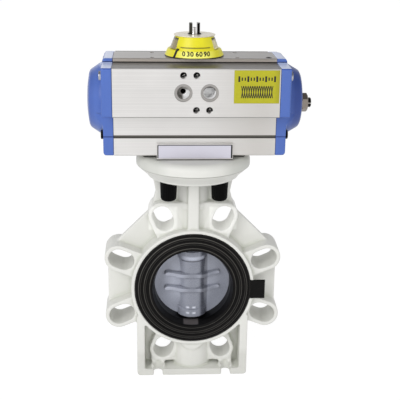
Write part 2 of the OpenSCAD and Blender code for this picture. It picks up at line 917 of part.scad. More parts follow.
module cap_seal() {
    color([0.1, 0.1, 0.1])
        for (p = [[0, axis_z, seal_ring_r, seal_r], [gallery_y, gallery_z, gallery_seal_r, gallery_wire_r]])
            translate([end_x + 0.02, p[0], p[1]])
                along_x()
                    ring(p[2] - p[3] + 0.2, p[2] + p[3] - 0.2, p[3] * seal_depth - 0.04);
}

module left_cap_seal() {
    mirror([1, 0, 0])
        cap_seal();
}

module right_cap_seal() {
    cap_seal();
}

module cap_screws() {
    shank = cap_flange - 1 + screw_depth - 1;
    color([0.78, 0.79, 0.8])
        for (p = screw_points)
            translate([flange_x - 1 - shank, p[0], p[1]])
                along_x()
                    difference() {
                        union() {
                            cylinder(r = cap_screw_r, h = shank + 1);
                            translate([0, 0, shank])
                                cylinder(r = screw_head_r, h = screw_head_h);
                        }
                        translate([0, 0, shank + 1])
                            cylinder(r = 2, h = screw_head_h, $fn = 6);
                    }
}

module left_cap_screws() {
    mirror([1, 0, 0])
        cap_screws();
}

module right_cap_screws() {
    cap_screws();
}

// Pinion and its bearings

function involute(r) = let (t = sqrt(max(0, pow(r / gear_base_r, 2) - 1))) t * 180 / PI - atan(t);
tooth_half = ((gear_pitch - backlash) / 2) / 2 / pitch_r * 180 / PI + involute(pitch_r);

// One flank's points from the root to the tip, as radius and angle from the tooth's middle
function flank() = concat([[gear_root_r, tooth_half]],
    [for (i = [0 : 4]) let (r = gear_base_r + (gear_tip_r - gear_base_r) * i / 4)
        [r, tooth_half - involute(r)]]);

function polar(r, a) = [r * cos(a), r * sin(a)];

module gear_outline() {
    step = 360 / gear_teeth;
    f = flank();
    n = len(f) - 1;
    polygon([for (k = [0 : gear_teeth - 1])
        for (i = [0 : 2 * n + 1])
            let (p = i <= n ? f[i] : f[2 * n + 1 - i])
                polar(p[0], -90 + k * step + (i <= n ? -p[1] : p[1]))]);
}

module pinion() {
    journal_top = gear_z - 4;
    color([0.72, 0.73, 0.75])
        difference() {
            union() {
                translate([0, 0, pinion_z])
                    cylinder(r = lower_journal_r, h = journal_top - pinion_z);
                translate([0, 0, journal_top - 1])
                    cylinder(r = gear_root_r, h = 6);
                translate([0, 0, gear_z])
                    linear_extrude(gear_l)
                        gear_outline();
                translate([0, 0, gear_z + gear_l - 1])
                    cylinder(r = upper_journal_r, h = hub_z - gear_z - gear_l + 1);
                translate([0, 0, hub_z - 1])
                    cylinder(r = shaft_r, h = shaft_top - hub_z + 1);
            }
            translate([-socket_square / 2, -socket_square / 2, pinion_z - 1])
                cube([socket_square, socket_square, socket_depth + 1]);
            translate([0, 0, lower_ring_z - piston_ring_r])
                ring(lower_journal_r - 0.9, lower_journal_r + 1, 2 * piston_ring_r);
            translate([0, 0, upper_ring_z - 1.4])
                ring(upper_journal_r - 0.3, upper_journal_r + 1, 2.8);
            translate([0, 0, circlip_z])
                ring(upper_journal_r - 0.8, upper_journal_r + 1, 1.5);
            translate([-slot_cut_w / 2, -shaft_r - 1, shaft_top - slot_cut_d])
                cube([slot_cut_w, 2 * shaft_r + 2, slot_cut_d + 1]);
            translate([0, 0, shaft_top - 14])
                cylinder(r = 1.6, h = 15);
        }
}

module lower_pinion_bush() {
    color([0.9, 0.88, 0.8])
        translate([0, 0, lower_ring_z + 3])
            ring(lower_journal_r + run_gap, lower_journal_r + bush_wall, cyl_floor - lower_ring_z - 4);
}

module upper_pinion_bush() {
    color([0.9, 0.88, 0.8])
        translate([0, 0, cyl_roof + 1])
            ring(upper_journal_r + run_gap, upper_journal_r + bush_wall, upper_ring_z - cyl_roof - 3);
}

module pinion_o_rings() {
    lower_wire = (bush_wall + 0.9 - run_gap) / 2;
    upper_wire = (bush_wall + 0.3 - run_gap) / 2;
    color([0.1, 0.1, 0.1]) {
        translate([0, 0, lower_ring_z])
            o_ring(lower_journal_r - 0.88 + lower_wire, lower_wire - 0.01);
        translate([0, 0, upper_ring_z])
            o_ring(upper_journal_r - 0.28 + upper_wire, upper_wire - 0.01);
    }
}

module thrust_washer() {
    color([0.9, 0.88, 0.8])
        translate([0, 0, pad_z])
            ring(upper_journal_r + run_gap, upper_journal_r + 5.5, 1.4);
}

module pinion_circlip() {
    color([0.35, 0.36, 0.38])
        translate([0, 0, circlip_z + 0.05])
            difference() {
                ring(upper_journal_r - 0.78, upper_journal_r + 3.5, 1.4);
                translate([-2, 0, -1])
                    cube([4, upper_journal_r + 6, 4]);
            }
}

// Pistons: the right one is drawn, and the left one is the same piece turned half round

// Trapezoid rack with its pitch line at y = 0 and its teeth towards +Y, spaces at x = 0
module rack_outline(x_in, x_out) {
    half = (gear_pitch - backlash) / 4;
    dx_tip = half - gear_m * tan(20);
    dx_root = half + 1.25 * gear_m * tan(20);
    back = pitch_r - rack_back;
    first = round(x_in / gear_pitch);
    polygon(concat(
        [[x_in, back], [x_in, -1.25 * gear_m]],
        [for (k = [first : teeth_out - 1])
            for (p = [[-dx_root, -1.25 * gear_m], [-dx_tip, gear_m], [dx_tip, gear_m], [dx_root, -1.25 * gear_m]])
                [(k + 0.5) * gear_pitch + p[0], p[1]]],
        [[x_out, -1.25 * gear_m], [x_out, back]]));
}

module piston() {
    ring_x = piston_out - 4.5;
    band_x = piston_in + 2;
    color([0.8, 0.8, 0.8])
        difference() {
            union() {
                translate([piston_in, 0, axis_z])
                    along_x()
                        cylinder(r = piston_r, h = piston_t);
                translate([0, -pitch_r, axis_z - rack_h / 2])
                    linear_extrude(rack_h)
                        rack_outline(-rack_end, piston_in + 1);
            }
            translate([ring_x - piston_ring_r, 0, axis_z])
                along_x()
                    ring(piston_r - 2 * piston_ring_r + 0.1, piston_r + 1, 2 * piston_ring_r);
            translate([band_x, 0, axis_z])
                along_x()
                    ring(piston_r - band_t, piston_r + 1, band_w);
            translate([piston_out - 3, 0, axis_z])
                along_x()
                    ring(spring_r - wire_r - 1, spring_r + wire_r + 1, 4);
            translate([-rack_end - 1, -rack_back - 1, axis_z - 4])
                cube([guide_l + 1, 2.5, 8]);
        }
}

module piston_o_ring() {
    wire = piston_ring_r - 0.03;
    color([0.1, 0.1, 0.1])
        translate([piston_out - 4.5, 0, axis_z])
            along_x()
                o_ring(cyl_r - run_gap / 2 - wire, wire);
}

module piston_guides() {
    color([0.93, 0.92, 0.88]) {
        translate([piston_in + 2 + seat_gap, 0, axis_z])
            along_x()
                ring(piston_r - band_t + seat_gap, cyl_r - run_gap / 2, band_w - 2 * seat_gap);
        translate([-rack_end, 0, axis_z])
            intersection() {
                translate([0, -cyl_r, -4 + seat_gap])
                    cube([guide_l - seat_gap, cyl_r - rack_back + 1.5 - seat_gap, 8 - 2 * seat_gap]);
                translate([-1, 0, 0])
                    along_x()
                        cylinder(r = cyl_r - run_gap / 2, h = guide_l + 2);
            }
    }
}

module right_piston() {
    piston();
}

module left_piston() {
    rotate([0, 0, 180])
        piston();
}

module right_piston_o_ring() {
    piston_o_ring();
}

module left_piston_o_ring() {
    rotate([0, 0, 180])
        piston_o_ring();
}

module right_piston_guides() {
    piston_guides();
}

module left_piston_guides() {
    rotate([0, 0, 180])
        piston_guides();
}

// Return springs: a round wire swept along a helix between the piston and the cap

spring_in = piston_out - 3;
spring_sides = 8;
spring_steps = 16;

function coil_point(i) =
    let (n = spring_turns * spring_steps, a = 360 * i / spring_steps, l = cavity_x - spring_in - 2 * wire_r)
        [spring_in + wire_r + l * i / n, spring_r * cos(a), spring_r * sin(a)];

module coil_spring() {
    n = spring_turns * spring_steps;
    points = [for (i = [0 : n])
        let (p = coil_point(i), a = 360 * i / spring_steps)
            for (k = [0 : spring_sides - 1])
                let (b = 360 * k / spring_sides, u = (wire_r - 0.05) * cos(b), v = (wire_r - 0.05) * sin(b))
                    [p[0] + v, p[1] + u * cos(a), axis_z + p[2] + u * sin(a)]];
    faces = concat(
        [[for (k = [0 : spring_sides - 1]) k]],
        [for (i = [0 : n - 1])
            for (k = [0 : spring_sides - 1])
                let (a = i * spring_sides + k, b = i * spring_sides + (k + 1) % spring_sides)
                    [a, a + spring_sides, b + spring_sides, b]],
        [[for (k = [spring_sides - 1 : -1 : 0]) n * spring_sides + k]]);
    color([0.3, 0.32, 0.36])
        polyhedron(points, faces, convexity = 10);
}

module right_spring() {
    coil_spring();
}

module left_spring() {
    rotate([0, 0, 180])
        coil_spring();
}

// Travel stop in the right cap

module stop_screw() {
    color([0.12, 0.12, 0.13])
        translate([stop_in, 0, stop_z])
            along_x()
                difference() {
                    cylinder(r = stop_r, h = stop_end - stop_in);
                    translate([-0.8, -stop_r - 1, stop_end - stop_in - 2.5])
                        cube([1.6, 2 * stop_r + 2, 4]);
                }
}

module stop_lock_nut() {
    color([0.7, 0.71, 0.72])
        translate([boss_x + washer_t, 0, stop_z])
            along_x()
                difference() {
                    intersection() {
                        cylinder(r = nut_af / 2 / cos(30), h = nut_t, $fn = 6);
                        cylinder(r1 = nut_af / 2 + 4, r2 = nut_af / 2 - 0.4, h = nut_t);
                    }
                    translate([0, 0, -1])
                        cylinder(r = stop_r + seat_gap, h = nut_t + 2);
                }
}

module stop_seal_washer() {
    color([0.1, 0.1, 0.1])
        translate([boss_x, 0, stop_z])
            along_x()
                ring(stop_r + seat_gap, stop_r + 4.2, washer_t);
}

// Position indicator on the pinion's top

module cone_shell(r0, r1, z0, z1, t, a_mid, a_half) {
    rotate([0, 0, a_mid - a_half])
        rotate_extrude(angle = 2 * a_half)
            polygon([[r0 - t, z0], [r0, z0], [r1, z1], [r1 - t, z1]]);
}

// Radius of the drum's wall at a height above its foot
function drum_at(z) = drum_foot_r + (drum_r - drum_foot_r) * z / drum_h;

module indicator_housing() {
    color([0.93, 0.87, 0.13])
        difference() {
            union() {
                rotate_extrude()
                    polygon([
                        [skirt_r - shell_t, skirt_z], [skirt_r, skirt_z], [skirt_top_r, drum_z],
                        [drum_r - 4, drum_z + 0.6], [drum_r - 4, drum_z - 1],
                        [skirt_top_r - shell_t - 0.6, drum_z - 1]]);
                for (a = [-90, 90])
                    cone_shell(drum_foot_r, drum_r, drum_z - 0.2, drum_top, shell_t, a, panel_half);
                translate([0, 0, drum_top - 1.6])
                    cylinder(r = drum_r - 0.8, h = 1.6);
                translate([0, 0, hub_z + 0.2])
                    cylinder(r = shaft_r + 3, h = drum_top - hub_z - 0.4);
                translate([0, 0, drum_z - 1])
                    ring(shaft_r + 1, drum_r - 3, 1.6);
            }
            translate([0, 0, hub_z])
                cylinder(r = shaft_r + seat_gap, h = drum_top - hub_z + 1);
            for (a = [-90, 90])
                cone_shell(drum_at(drum_groove_z) + 0.3, drum_at(drum_groove_z + 0.6) + 0.3, drum_z + drum_groove_z,
                    drum_z + drum_groove_z + 0.6, 0.8, a, panel_half - 13);
        }
}

module indicator_windows() {
    inset = 0.7;
    half = 90 - panel_half - 0.4;
    color([0.8, 0.81, 0.8])
        for (a = [0, 180])
            cone_shell(drum_foot_r - inset, drum_r - inset, drum_z + 0.65, drum_top - 1.65, 1.6, a, half);
}

module indicator_top_plate() {
    color([0.82, 0.82, 0.84])
        translate([0, 0, drum_top])
            ring(shaft_r + seat_gap, plate_r, plate_t);
}

module indicator_ring() {
    color([0.15, 0.14, 0.13])
        translate([0, 0, drum_top + plate_t])
            ring(shaft_r + seat_gap, shaft_r + 1.2, 1);
}

// Height and radius of the skirt's surface at the share f of its height
function skirt_at(f) = [skirt_r + (skirt_top_r - skirt_r) * f, skirt_z + skirt_h * f];

module skirt_mark(a, half, f0, f1) {
    low = skirt_at(f0);
    high = skirt_at(f1);
    mark_t = 0.3;
    rotate([0, 0, a - half])
        rotate_extrude(angle = 2 * half)
            polygon([low, [low[0] + mark_t, low[1]], [high[0] + mark_t, high[1]], high]);
}

module indicator_marks() {
    color([0.06, 0.06, 0.06]) {
        skirt_mark(-133, 2.2, 0.1, 0.95);
        for (k = [0 : scale_lines - 1])
            let (a = -90 + (k - (scale_lines - 1) / 2) * 7)
                skirt_mark(a, 0.8, 0.25, k % 2 == 0 ? 0.8 : 0.6);
    }
}

// Plates on the body's front

module nameplate() {
    color([0.78, 0.78, 0.82])
        translate([-nameplate_w / 2, -block_w / 2 - 0.8, base_z + 2])
            cube([nameplate_w, 0.8, nameplate_h]);
}

module spring_label() {
    color([0.9, 0.85, 0.2])
        translate([end_x - 1 - label_w, -upper_w / 2 - 0.4, shoulder_z - 1.5 - label_h])
            cube([label_w, 0.4, label_h]);
}

valve_body();
valve_liner();
lower_stem_bush();
middle_stem_bush();
upper_stem_bush();
adapter_plate();
flange_bolts();
bolt_caps();
stem();
stem_o_rings();
stem_circlip();
disc();
disc_key();
drive_insert();
actuator_body();
left_end_cap();
right_end_cap();
left_cap_seal();
right_cap_seal();
left_cap_screws();
right_cap_screws();
pinion();
lower_pinion_bush();
upper_pinion_bush();
pinion_o_rings();
thrust_washer();
pinion_circlip();
left_piston();
right_piston();
left_piston_o_ring();
right_piston_o_ring();
left_piston_guides();
right_piston_guides();
left_spring();
right_spring();
stop_screw();
stop_lock_nut();
stop_seal_washer();
pad_plug();
indicator_housing();
indicator_windows();
indicator_top_plate();
indicator_ring();
indicator_marks();
nameplate();
spring_label();
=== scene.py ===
"""Looks for a butterfly valve with a spring-return rack-and-pinion actuator.

Run as a script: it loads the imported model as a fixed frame, finishes its pieces and adds the
surfaces that the frame only blocks out. Shape functions work in millimetres.
"""

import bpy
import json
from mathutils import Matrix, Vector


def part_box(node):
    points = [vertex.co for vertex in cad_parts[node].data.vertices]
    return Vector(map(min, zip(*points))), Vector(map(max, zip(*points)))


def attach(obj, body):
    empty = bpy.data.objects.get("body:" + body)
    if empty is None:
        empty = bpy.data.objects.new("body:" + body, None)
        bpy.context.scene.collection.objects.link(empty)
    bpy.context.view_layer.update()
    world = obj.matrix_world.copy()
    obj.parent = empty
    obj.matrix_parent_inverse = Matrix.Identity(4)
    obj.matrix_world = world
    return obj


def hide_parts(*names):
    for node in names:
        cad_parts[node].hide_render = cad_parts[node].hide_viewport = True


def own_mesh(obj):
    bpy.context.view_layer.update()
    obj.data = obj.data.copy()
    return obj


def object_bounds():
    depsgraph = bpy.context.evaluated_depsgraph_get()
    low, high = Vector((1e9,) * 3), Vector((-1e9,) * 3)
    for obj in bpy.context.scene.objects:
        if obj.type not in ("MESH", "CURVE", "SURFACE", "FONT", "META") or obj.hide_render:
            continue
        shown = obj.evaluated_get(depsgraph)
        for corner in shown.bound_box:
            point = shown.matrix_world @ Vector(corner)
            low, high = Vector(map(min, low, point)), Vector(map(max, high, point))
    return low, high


bl_info = {
    "name": "Actuated butterfly valve",
    "version": (1, 0, 0),
    "blender": (4, 5, 0),
    "location": "View3D > Sidebar > Valve",
    "description": "Moulded, cast and machined pieces of an actuated butterfly valve",
    "category": "Add Mesh",
}

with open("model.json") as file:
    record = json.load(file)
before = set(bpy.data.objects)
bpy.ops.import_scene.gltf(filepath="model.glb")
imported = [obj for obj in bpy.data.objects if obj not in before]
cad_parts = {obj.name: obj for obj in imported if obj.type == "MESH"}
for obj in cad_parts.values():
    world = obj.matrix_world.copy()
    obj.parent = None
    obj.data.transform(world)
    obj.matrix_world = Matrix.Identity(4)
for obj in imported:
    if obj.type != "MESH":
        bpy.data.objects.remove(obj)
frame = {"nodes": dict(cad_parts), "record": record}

import json
import math

import bmesh
import bpy
import numpy as np
from bpy.props import FloatProperty, FloatVectorProperty, IntProperty, PointerProperty
from mathutils import Matrix, Vector

MM = 0.001
WELD = 1e-6
CAD_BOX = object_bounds()
ORIGIN = (0, 0, 0)
AXES = {
    "X": ((0, 1, 0), (0, 0, 1), (1, 0, 0)),
    "-X": ((0, 0, 1), (0, 1, 0), (-1, 0, 0)),
    "Y": ((0, 0, 1), (1, 0, 0), (0, 1, 0)),
    "Z": ((1, 0, 0), (0, 1, 0), (0, 0, 1)),
}

# Places in millimetres that the frame gives only inside its shapes
BOLT_CORNER = 24.75
SCREW_PLACES = [(42.0, 219.0), (24.5, 160.0), (-42.0, 219.0), (-24.5, 160.0)]
PORT_LEVEL = 205.0
HOLE_PLACES = [(-12.0, 221.0), (0.0, 221.0), (0.0, 189.0), (12.0, 189.0)]

# How far a turned shell stays inside its node's box, in millimetres
CLEAR = 0.02

# Disc, in millimetres from its centre
DISC_REACH = 38.32
BALL_RADIUS = 38.4
HUB_RADIUS = 13.5
BOSS_RADIUS = 14.9
RIB_MIDDLES = (9.3, -6.3)
RIB_HALF = 2.7
RIB_END = 28.2

# Camera, in metres and degrees
CAMERA_PLACE = (-0.042814, -0.855416, 0.367231)
CAMERA_YAW_PITCH_ROLL = (-3.356, 18.152, 0.776)
CAMERA_LENS = 81.0
CAMERA_SENSOR = 36.0


# Numbers from the frame

def span(node):
    """Lowest and highest corner of a frame node, in millimetres."""
    low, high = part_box(node)
    return np.array(low) / MM, np.array(high) / MM


def linear(code):
    """Scene colour of a six-digit screen colour."""
    screen = np.array([int(code[i:i + 2], 16) for i in (0, 2, 4)]) / 255
    low = screen / 12.92
    high = ((screen + 0.055) / 1.055) ** 2.4
    return tuple(float(v) for v in np.where(screen <= 0.04045, low, high))


# Shapes

def put_mesh(name, points, faces, smooth_deg, marks):
    """New object from points in millimetres and arrays of corners: doubles are merged, so that
    seams and poles close, the shell is turned outwards, and edges sharper than smooth_deg stay
    crisp. marks holds one value from 0 to 1 for each point."""
    mesh = bpy.data.meshes.new(name)
    loops = np.concatenate([np.asarray(f).ravel() for f in faces]).astype(np.int32)
    sides = np.concatenate([np.full(len(f), np.asarray(f).shape[1]) for f in faces])
    starts = np.concatenate([[0], np.cumsum(sides)[:-1]]).astype(np.int32)
    mesh.vertices.add(len(points))
    mesh.vertices.foreach_set("co", (np.asarray(points, float) * MM).astype(np.float32).ravel())
    mesh.loops.add(len(loops))
    mesh.loops.foreach_set("vertex_index", loops)
    mesh.polygons.add(len(sides))
    mesh.polygons.foreach_set("loop_start", starts)
    if marks is not None:
        put_marks(mesh, marks)
    mesh.update(calc_edges=True)
    work = bmesh.new()
    work.from_mesh(mesh)
    bmesh.ops.remove_doubles(work, verts=work.verts, dist=WELD)
    bmesh.ops.dissolve_degenerate(work, edges=work.edges, dist=WELD)
    bmesh.ops.recalc_face_normals(work, faces=work.faces)
    work.to_mesh(mesh)
    work.free()
    return put_object(name, mesh, smooth_deg)


def put_marks(mesh, values):
    """Keeps one value from 0 to 1 for each point as the attribute "mark"."""
    layer = mesh.attributes.new("mark", "FLOAT", "POINT")
    layer.data.foreach_set("value", np.asarray(values, np.float32).ravel())


def put_object(name, mesh, smooth_deg):
    """Links a mesh as an object, shades it smooth between crisp edges and evens its normals."""
    mesh.polygons.foreach_set("use_smooth", np.ones(len(mesh.polygons), bool))
    mesh.set_sharp_from_angle(angle=math.radians(smooth_deg))
    thing = bpy.data.objects.new(name, mesh)
    bpy.context.scene.collection.objects.link(thing)
    even_normals(thing)
    return thing


def even_normals(thing):
    """Lets large faces rule the shading, so that small roundings don't tilt the flats."""
    modifier = thing.modifiers.new("even_normals", "WEIGHTED_NORMAL")
    modifier.keep_sharp = True
    modifier.weight = 80


def settle(thing, body, finish, slot, *replaced):
    """Gives a piece its finish, seats it on its body and hides the nodes it stands for. The slot is
    not used.
    """
    thing.data.materials.clear()
    thing.data.materials.append(finish.material)
    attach(thing, body)
    if replaced:
        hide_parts(*replaced)
    return thing


def make(name, parts, body, finish, slot, *replaced, smooth_deg=38, marks=None):
    """New piece from its points and faces, settled on its body."""
    return settle(put_mesh(name, *parts, smooth_deg, marks), body, finish, slot, *replaced)


def lofted(rings):
    """Quads between closed rows of points: corner j of row i joins corner j + 1 and row i + 1."""
    rows, cols = rings.shape[:2]
    index = np.arange(rows * cols).reshape(rows, cols)
    after = np.roll(index, -1, axis=1)
    quads = np.stack([index[:-1], after[:-1], after[1:], index[1:]], axis=-1)
    return rings.reshape(-1, 3), quads.reshape(-1, 4)


def capped(rings):
    """Closed bar: rows of points are joined, and a lid closes the first and the last row."""
    points, quads = lofted(rings)
    row = np.arange(rings.shape[1])
    lids = [row[None, ::-1], row[None, :] + len(points) - len(row)]
    return points, [quads] + lids


def sandwich(front, back):
    """Closed plate from two grids of points that face each other: each column runs over the front
    and returns over the back, and strips close the first and the last column."""
    loop = np.concatenate([front, back[:, ::-1]], axis=1)
    points, quads = lofted(loop)
    around = loop.shape[1]
    j = np.arange(around // 2 - 1)
    strips = [np.stack([s + j, s + j + 1, s + around - 2 - j, s + around - 1 - j], axis=-1)
              for s in (0, len(points) - around)]
    return points, [quads] + strips


def joined(parts):
    """One list of points and faces from several."""
    points, faces, start = [], [], 0
    for some_points, some_faces in parts:
        points.append(some_points)
        faces.extend(np.asarray(f) + start for f in some_faces)
        start += len(some_points)
    return np.concatenate(points), faces


def grid(low, high, count):
    """Places in X and Z over a box's front, as a square grid of count by count, with the shares
    of its width and height."""
    a, b = np.meshgrid(np.linspace(0, 1, count), np.linspace(0, 1, count), indexing="ij")
    return low[0] + a * (high[0] - low[0]), low[2] + b * (high[2] - low[2]), a, b


def eased(outline, radius, steps=4, loop=False):
    """Outline with rounded corners: each corner gives way to a quadratic curve between the points
    that lie the radius before and after it, or less than half of a shorter side."""
    pts = [np.array(p, float) for p in outline]
    made = []
    last = len(pts) - 1
    for i, here in enumerate(pts):
        size = radius[i] if isinstance(radius, (list, tuple)) else radius
        if size <= 0 or (not loop and i in (0, last)):
            made.append(here)
            continue
        before, after = pts[i - 1], pts[(i + 1) % len(pts)]
        a, b = before - here, after - here
        la, lb = np.linalg.norm(a[:2]), np.linalg.norm(b[:2])
        start = here + a * min(size, 0.48 * la) / max(la, 1e-9)
        end = here + b * min(size, 0.48 * lb) / max(lb, 1e-9)
        for t in np.linspace(0, 1, steps + 1):
            made.append((1 - t) ** 2 * start + 2 * t * (1 - t) * here + t ** 2 * end)
    return np.array(made)


def finer(outline, gap):
    """Outline with extra points, so that no side is longer than the gap."""
    made = []
    for a, b in zip(outline[:-1], outline[1:]):
        parts = max(1, math.ceil(np.linalg.norm(b - a) / gap))
        made.extend(a + (b - a) * t for t in np.arange(parts) / parts)
    return np.array(made + [outline[-1]])


def box_outline(inner, outer, low, high):
    """Outline of a ring with a square section: two radii and two heights."""
    return [(inner, low), (outer, low), (outer, high), (inner, high), (inner, low)]


def corners(flats, angle):
    """Reach of a regular polygon over its inner radius: one over the cosine of the angle from the
    nearest flat's middle; a polygon with no flats is a circle."""
    if not flats:
        return np.ones_like(angle)
    step_angle = 2 * np.pi / flats
    return 1 / np.cos((angle + step_angle / 2) % step_angle - step_angle / 2)


def turned(outline, centre, axis, sides=96, ripple=None):
    """Surface turned round an axis: the outline's radius and height are swept through a full turn.
    A third number in each outline point is its number of flats, and ripple(angle, height) scales
    the radii."""
    outline = np.asarray(outline, float)
    angle = np.linspace(0, 2 * np.pi, sides, endpoint=False)
    u, v, w = (np.array(a, float) for a in AXES[axis])
    radius = outline[:, :1] * np.ones((1, sides))
    if outline.shape[1] > 2:
        radius = radius * np.stack([corners(n, angle) for n in outline[:, 2]])
    if ripple is not None:
        radius = radius * ripple(angle[None, :], outline[:, 1:2])
    ring = np.cos(angle)[None, :, None] * u + np.sin(angle)[None, :, None] * v
    rings = np.asarray(centre, float) + radius[..., None] * ring + outline[:, 1:2, None] * w
    points, quads = lofted(rings)
    return points, [quads]


def helix_vee(angle, height, pitch):
    """Profile of a thread along a helix: 0 in the middle of each pitch and 1 at its ends."""
    turn_share = (height / pitch - angle / (2 * np.pi)) % 1
    return np.abs(turn_share - 0.5) * 2


def wedge(loop_rz, mid_deg, half_deg, steps):
    """Part of a turn about Z: a closed outline in radius and height is swept between two angles,
    and its end faces close it."""
    loop_rz = np.asarray(loop_rz, float)
    angle = np.radians(mid_deg + np.linspace(-half_deg, half_deg, steps))
    return capped(np.stack([
        loop_rz[None, :, 0] * np.cos(angle)[:, None],
        loop_rz[None, :, 0] * np.sin(angle)[:, None],
        np.broadcast_to(loop_rz[None, :, 1], (steps, len(loop_rz))),
    ], axis=-1))


def slab(low, high, radius, edge):
    """Plate with round corners and eased edges: a rounded rectangle in X and Z is carried through
    its thickness and drawn in by a quarter circle at both faces, whose middles are poles."""
    mid = (low + high) / 2
    half = (high - low) / 2
    level = np.linspace(0, np.pi / 2, 4)
    sunk = edge * (1 - np.cos(level))
    inset = edge * (1 - np.sin(level))
    reach = np.maximum(radius - np.concatenate([inset, inset[::-1]]), 0.01)
    angle = np.linspace(0, np.pi / 2, 6) + np.arange(4)[:, None] * np.pi / 2
    middles = np.array([(1, 1), (-1, 1), (-1, -1), (1, -1)]) * (half[[0, 2]] - radius)
    bend = np.stack([np.cos(angle), np.sin(angle)], axis=-1)
    rows = (middles[:, None] + reach[:, None, None, None] * bend).reshape(len(reach), -1, 2)
    rings = np.zeros((len(rows) + 2, rows.shape[1], 3))
    rings[1:-1, :, 0] = rows[..., 0]
    rings[1:-1, :, 2] = rows[..., 1]
    rings[:, :, 1] = np.concatenate([[-half[1]], sunk - half[1], half[1] - sunk[::-1],
                                     [half[1]]])[:, None]
    points, quads = lofted(rings + mid)
    return points, [quads]


def near(value, middle, width):
    """1 at the middle, falling away to 0 on both sides like a bell of the given half width."""
    return np.exp(-((value - middle) / width) ** 2)


def step(value, start, end):
    """Smooth rise from 0 at start to 1 at end."""
    t = np.clip((value - start) / (end - start), 0, 1)
    return t * t * (3 - 2 * t)


def soft_top(first, second, reach):
    """Larger of two heights, with the crease between them filled over the reach."""
    gap = np.clip(0.5 + 0.5 * (first - second) / reach, 0, 1)
    return second + (first - second) * gap + reach * gap * (1 - gap)


def softened(name, node, voxel, passes, budget, hollow_passes=0, hollow_depth=1.0):
    """Moulded copy of a frame node: the solid is filled with small cells, each point of its new
    skin moves half of the way to the mean of its neighbours a number of times, which rounds the
    edges and fills the corners, and flat areas are thinned to the budget of triangles. The
    attribute "mark" tells how far hollow_passes more of the same would lift each point, as a
    share of hollow_depth: it is 1 deep in a corner."""
    source = frame["nodes"][node].data.copy()
    work = bmesh.new()
    work.from_mesh(source)
    bmesh.ops.remove_doubles(work, verts=work.verts, dist=WELD)
    work.to_mesh(source)
    work.free()
    source.materials.clear()
    thing = bpy.data.objects.new(name + "_cells", source)
    bpy.context.scene.collection.objects.link(thing)
    remesh = thing.modifiers.new("cells", "REMESH")
    remesh.mode = "VOXEL"
    remesh.voxel_size = voxel * MM
    mesh = baked_mesh(thing)
    relax(mesh, passes)
    if hollow_passes:
        mark_hollows(mesh, hollow_passes, hollow_depth * MM)
    thing.modifiers.clear()
    thing.data = mesh
    count = len(mesh.polygons) * 2
    if count > budget:
        thin = thing.modifiers.new("thin", "DECIMATE")
        thin.ratio = budget / count
        mesh = baked_mesh(thing)
    bpy.data.objects.remove(thing)
    mesh.name = name
    return put_object(name, mesh, 60)


def baked_mesh(thing):
    """The mesh of an object with its modifiers worked in."""
    bpy.context.view_layer.update()
    graph = bpy.context.evaluated_depsgraph_get()
    return bpy.data.meshes.new_from_object(thing.evaluated_get(graph))


def numbers_of(items, key, width, kind=np.float32):
    """One property of a mesh's points, edges or faces as an array."""
    values = np.zeros(len(items) * width, kind)
    items.foreach_get(key, values)
    return values.reshape(-1, width)


def mark_hollows(mesh, passes, depth):
    """Marks each point by the share of the depth that it would still move outwards."""
    before = numbers_of(mesh.vertices, "co", 3).astype(float)
    normals = numbers_of(mesh.vertices, "normal", 3)
    trial = mesh.copy()
    relax(trial, passes)
    moved = numbers_of(trial.vertices, "co", 3) - before
    bpy.data.meshes.remove(trial)
    put_marks(mesh, np.clip((moved * normals).sum(axis=1) / depth, 0, 1))


def relax(mesh, passes):
    """Moves every point half of the way to the mean of the points that its edges reach."""
    points = numbers_of(mesh.vertices, "co", 3).astype(float)
    a, b = numbers_of(mesh.edges, "vertices", 2, np.int32).T
    count = len(points)
    degree = np.bincount(a, minlength=count) + np.bincount(b, minlength=count)
    for _ in range(passes):
        total = np.stack([
            np.bincount(a, points[b, k], count) + np.bincount(b, points[a, k], count)
            for k in range(3)
        ], axis=1)
        points += 0.5 * (total / np.maximum(degree, 1)[:, None] - points)
    mesh.vertices.foreach_set("co", points.astype(np.float32).ravel())
    mesh.update()


# Finishes

class Nodes:
    """Adds nodes to a tree. An input takes a number, a colour or another node's output."""

    def __init__(self, tree):
        self.tree = tree

    def add(self, kind, settings=(), places=(), **inputs):
        """Adds a node, sets its options and fills its inputs, by place or by name."""
        node = self.tree.nodes.new("ShaderNode" + kind)
        for key, value in dict(settings).items():
            setattr(node, key, value)
        for key, value in dict(places).items():
            self.fill(node.inputs[key], value)
        for key, value in inputs.items():
            self.fill(node.inputs[key.replace("_", " ")], value)
        return node

    def fill(self, socket, value):
        """Links an output to a socket, or writes a value into it."""
        if isinstance(value, bpy.types.NodeSocket):
            self.tree.links.new(value, socket)
        else:
            socket.default_value = value

    def level(self, value, low, high, start=0.3, end=0.7):
        """Carries a value between start and end over to the range from low to high."""
        return self.add("MapRange", {"clamp": True},
                        {1: start, 2: end, 3: low, 4: high, 0: value}).outputs[0]

    def figure(self, kind, a, b):
        """Arithmetic on two values."""
        return self.add("Math", {"operation": kind}, {0: a, 1: b}).outputs[0]

    def between(self, share, under, upper):
        """Number that goes from under to upper with the share."""
        return self.add("Mix", (), {0: share, 2: under, 3: upper}).outputs[0]

    def seen(self, mirrored):
        """1 for rays from the camera and through glass, and the share mirrored in mirrors."""
        path = self.add("LightPath").outputs
        last = self.figure("MULTIPLY", path["Is Glossy Ray"], mirrored)
        for name in ("Is Camera Ray", "Is Transmission Ray"):
            last = self.figure("MAXIMUM", last, path[name])
        return last


